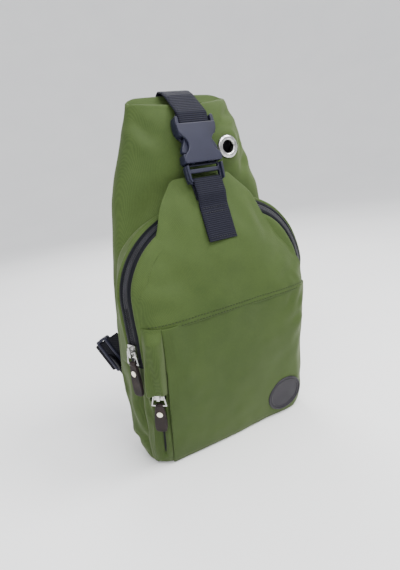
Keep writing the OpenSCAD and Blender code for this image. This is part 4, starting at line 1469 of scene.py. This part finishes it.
def make_strap():
    inner = tab_root + tab_run * 16.5 + tab_face * 4.4
    corners = [tuple(inner), tuple(inner + np.array([3.5, 4.0, -10.0])), (-86, 46, 72), (-75, 50, 49),
               (-58, 52, 29), (-40, 52, 18), (-23, 52, 25), (-9, 52, 49), (-2.5, 50.5, 77), (0, 48.2, 104),
               (0, 48, 125), (0, 48, 150), (0, 49, 171), (0, 50.2, 180)]
    path = smooth_line(corners, 190, 5.0)
    share = np.linspace(0, 1, len(path))
    keys = [0.0, 0.10, 0.24, 0.36, 0.48, 0.58, 0.67, 0.71, 1.0]
    turns = [-tab_width, -tab_width, (0.1, -0.75, -0.6), (0, -1.0, -0.1), (0, -1.0, 0.0),
             (0.35, -0.9, 0.0), (0.95, -0.3, 0.0), (1.0, 0, 0), (1.0, 0, 0)]
    sides = at_places(share, keys, np.array(turns))
    for _ in range(40):
        sides[1:-1] = (sides[:-2] + 2 * sides[1:-1] + sides[2:]) / 4
    band_along("shoulder_strap", path, sides, side_webbing, "bag", ["strap_webbing"], 29.0, 1.5)


def make_strap_slider():
    place = Matrix(((1, 0, 0, 0), (0, 0, 1, 0.048), (0, -1, 0, 0.146), (0, 0, 0, 1)))
    outer = box_outline(-19, 19, -9, 9, 3.0)
    slots = [box_outline(-15.4, 15.4, low, low + 3.6, 1.0) for low in (-5.4, 1.8)]
    plates = [([outer] + slots, 1.0, 3.4, 1.0), ([outer], -3.4, -1.0, 1.0),
              ([box_outline(-18.4, -15.6, -8, 8, 0.9)], -2.4, 2.4, 0.5),
              ([box_outline(15.6, 18.4, -8, 8, 0.9)], -2.4, 2.4, 0.5)]
    finish_object(moulded("ladder_slider", place, plates), buckle_plastic, "strap_slider", ["strap_slider"])


make_side_tab()
make_side_ring()
make_strap()
make_strap_slider()

# ---------------------------------------------------------------- kept CAD nodes
kept = {
    "pocket_lining": lining_cloth, "base_board": board_plastic, "eyelet_washer": nickel,
    "main_slider": nickel, "main_pull_link": nickel, "main_pull_rivet": brass,
    "pocket_slider": nickel, "pocket_pull_link": nickel, "pocket_pull_rivet": brass,
}
for node_name, node_material in kept.items():
    node_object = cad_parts[node_name]
    for i in range(len(node_object.material_slots)):
        node_object.material_slots[i].material = node_material


# ---------------------------------------------------------------- stage
def make_stage():
    """A round pale floor that curves up far away, so no edge shows behind the bag."""
    rings = [(0.0, 0.0), (0.4, 0.0), (1.2, 0.0), (2.2, 0.0)]
    for k in range(1, 19):
        turn = math.radians(4.5 * k)
        rings.append((2.2 + 3.0 * math.sin(turn), 3.0 - 3.0 * math.cos(turn)))
    count = 96
    points = []
    for r, z in rings[1:]:
        for i in range(count):
            turn = 2 * math.pi * i / count
            points.append((r * math.cos(turn), r * math.sin(turn), z))
    points.append((0, 0, 0))
    faces = []
    for j in range(len(rings) - 2):
        for i in range(count):
            k = (i + 1) % count
            faces.append((j * count + i, (j + 1) * count + i, (j + 1) * count + k, j * count + k))
    for i in range(count):
        faces.append((len(points) - 1, i, (i + 1) % count))
    mesh = bpy.data.meshes.new("floor")
    mesh.from_pydata(points, [], faces)
    for face in mesh.polygons:
        face.use_smooth = True
    floor = linked("floor", mesh)
    t = Tree("floor_pale")
    colour = t.ramp(t.noise(3.0), [(0.3, (0.90, 0.90, 0.90)), (0.7, (0.93, 0.93, 0.925))])
    mesh.materials.append(t.finish(colour, 0.9, specular=0.1))


def area_light(name, place, target, size, power, colour=(1, 1, 1)):
    data = bpy.data.lights.new(name, "AREA")
    data.shape = "DISK"
    data.size = size
    data.energy = power
    data.color = colour
    lamp = linked(name, data)
    lamp.location = place
    lamp.rotation_euler = (Vector(target) - Vector(place)).to_track_quat("-Z", "Y").to_euler()


make_stage()
area_light("key", (0.75, -0.55, 1.35), (0, 0, 0.16), 0.7, 22)
area_light("top", (0.0, -0.45, 0.78), (0, -0.02, 0.28), 0.35, 4.6)
area_light("fill", (-1.1, -0.9, 0.9), (0, 0, 0.15), 1.2, 11)
area_light("rim", (0.3, 1.1, 1.2), (0, 0, 0.2), 0.9, 14)
world = bpy.data.worlds.new("world")
world.use_nodes = True
world.node_tree.nodes["Background"].inputs[0].default_value = (0.93, 0.94, 0.97, 1)
world.node_tree.nodes["Background"].inputs[1].default_value = 1.15
bpy.context.scene.world = world
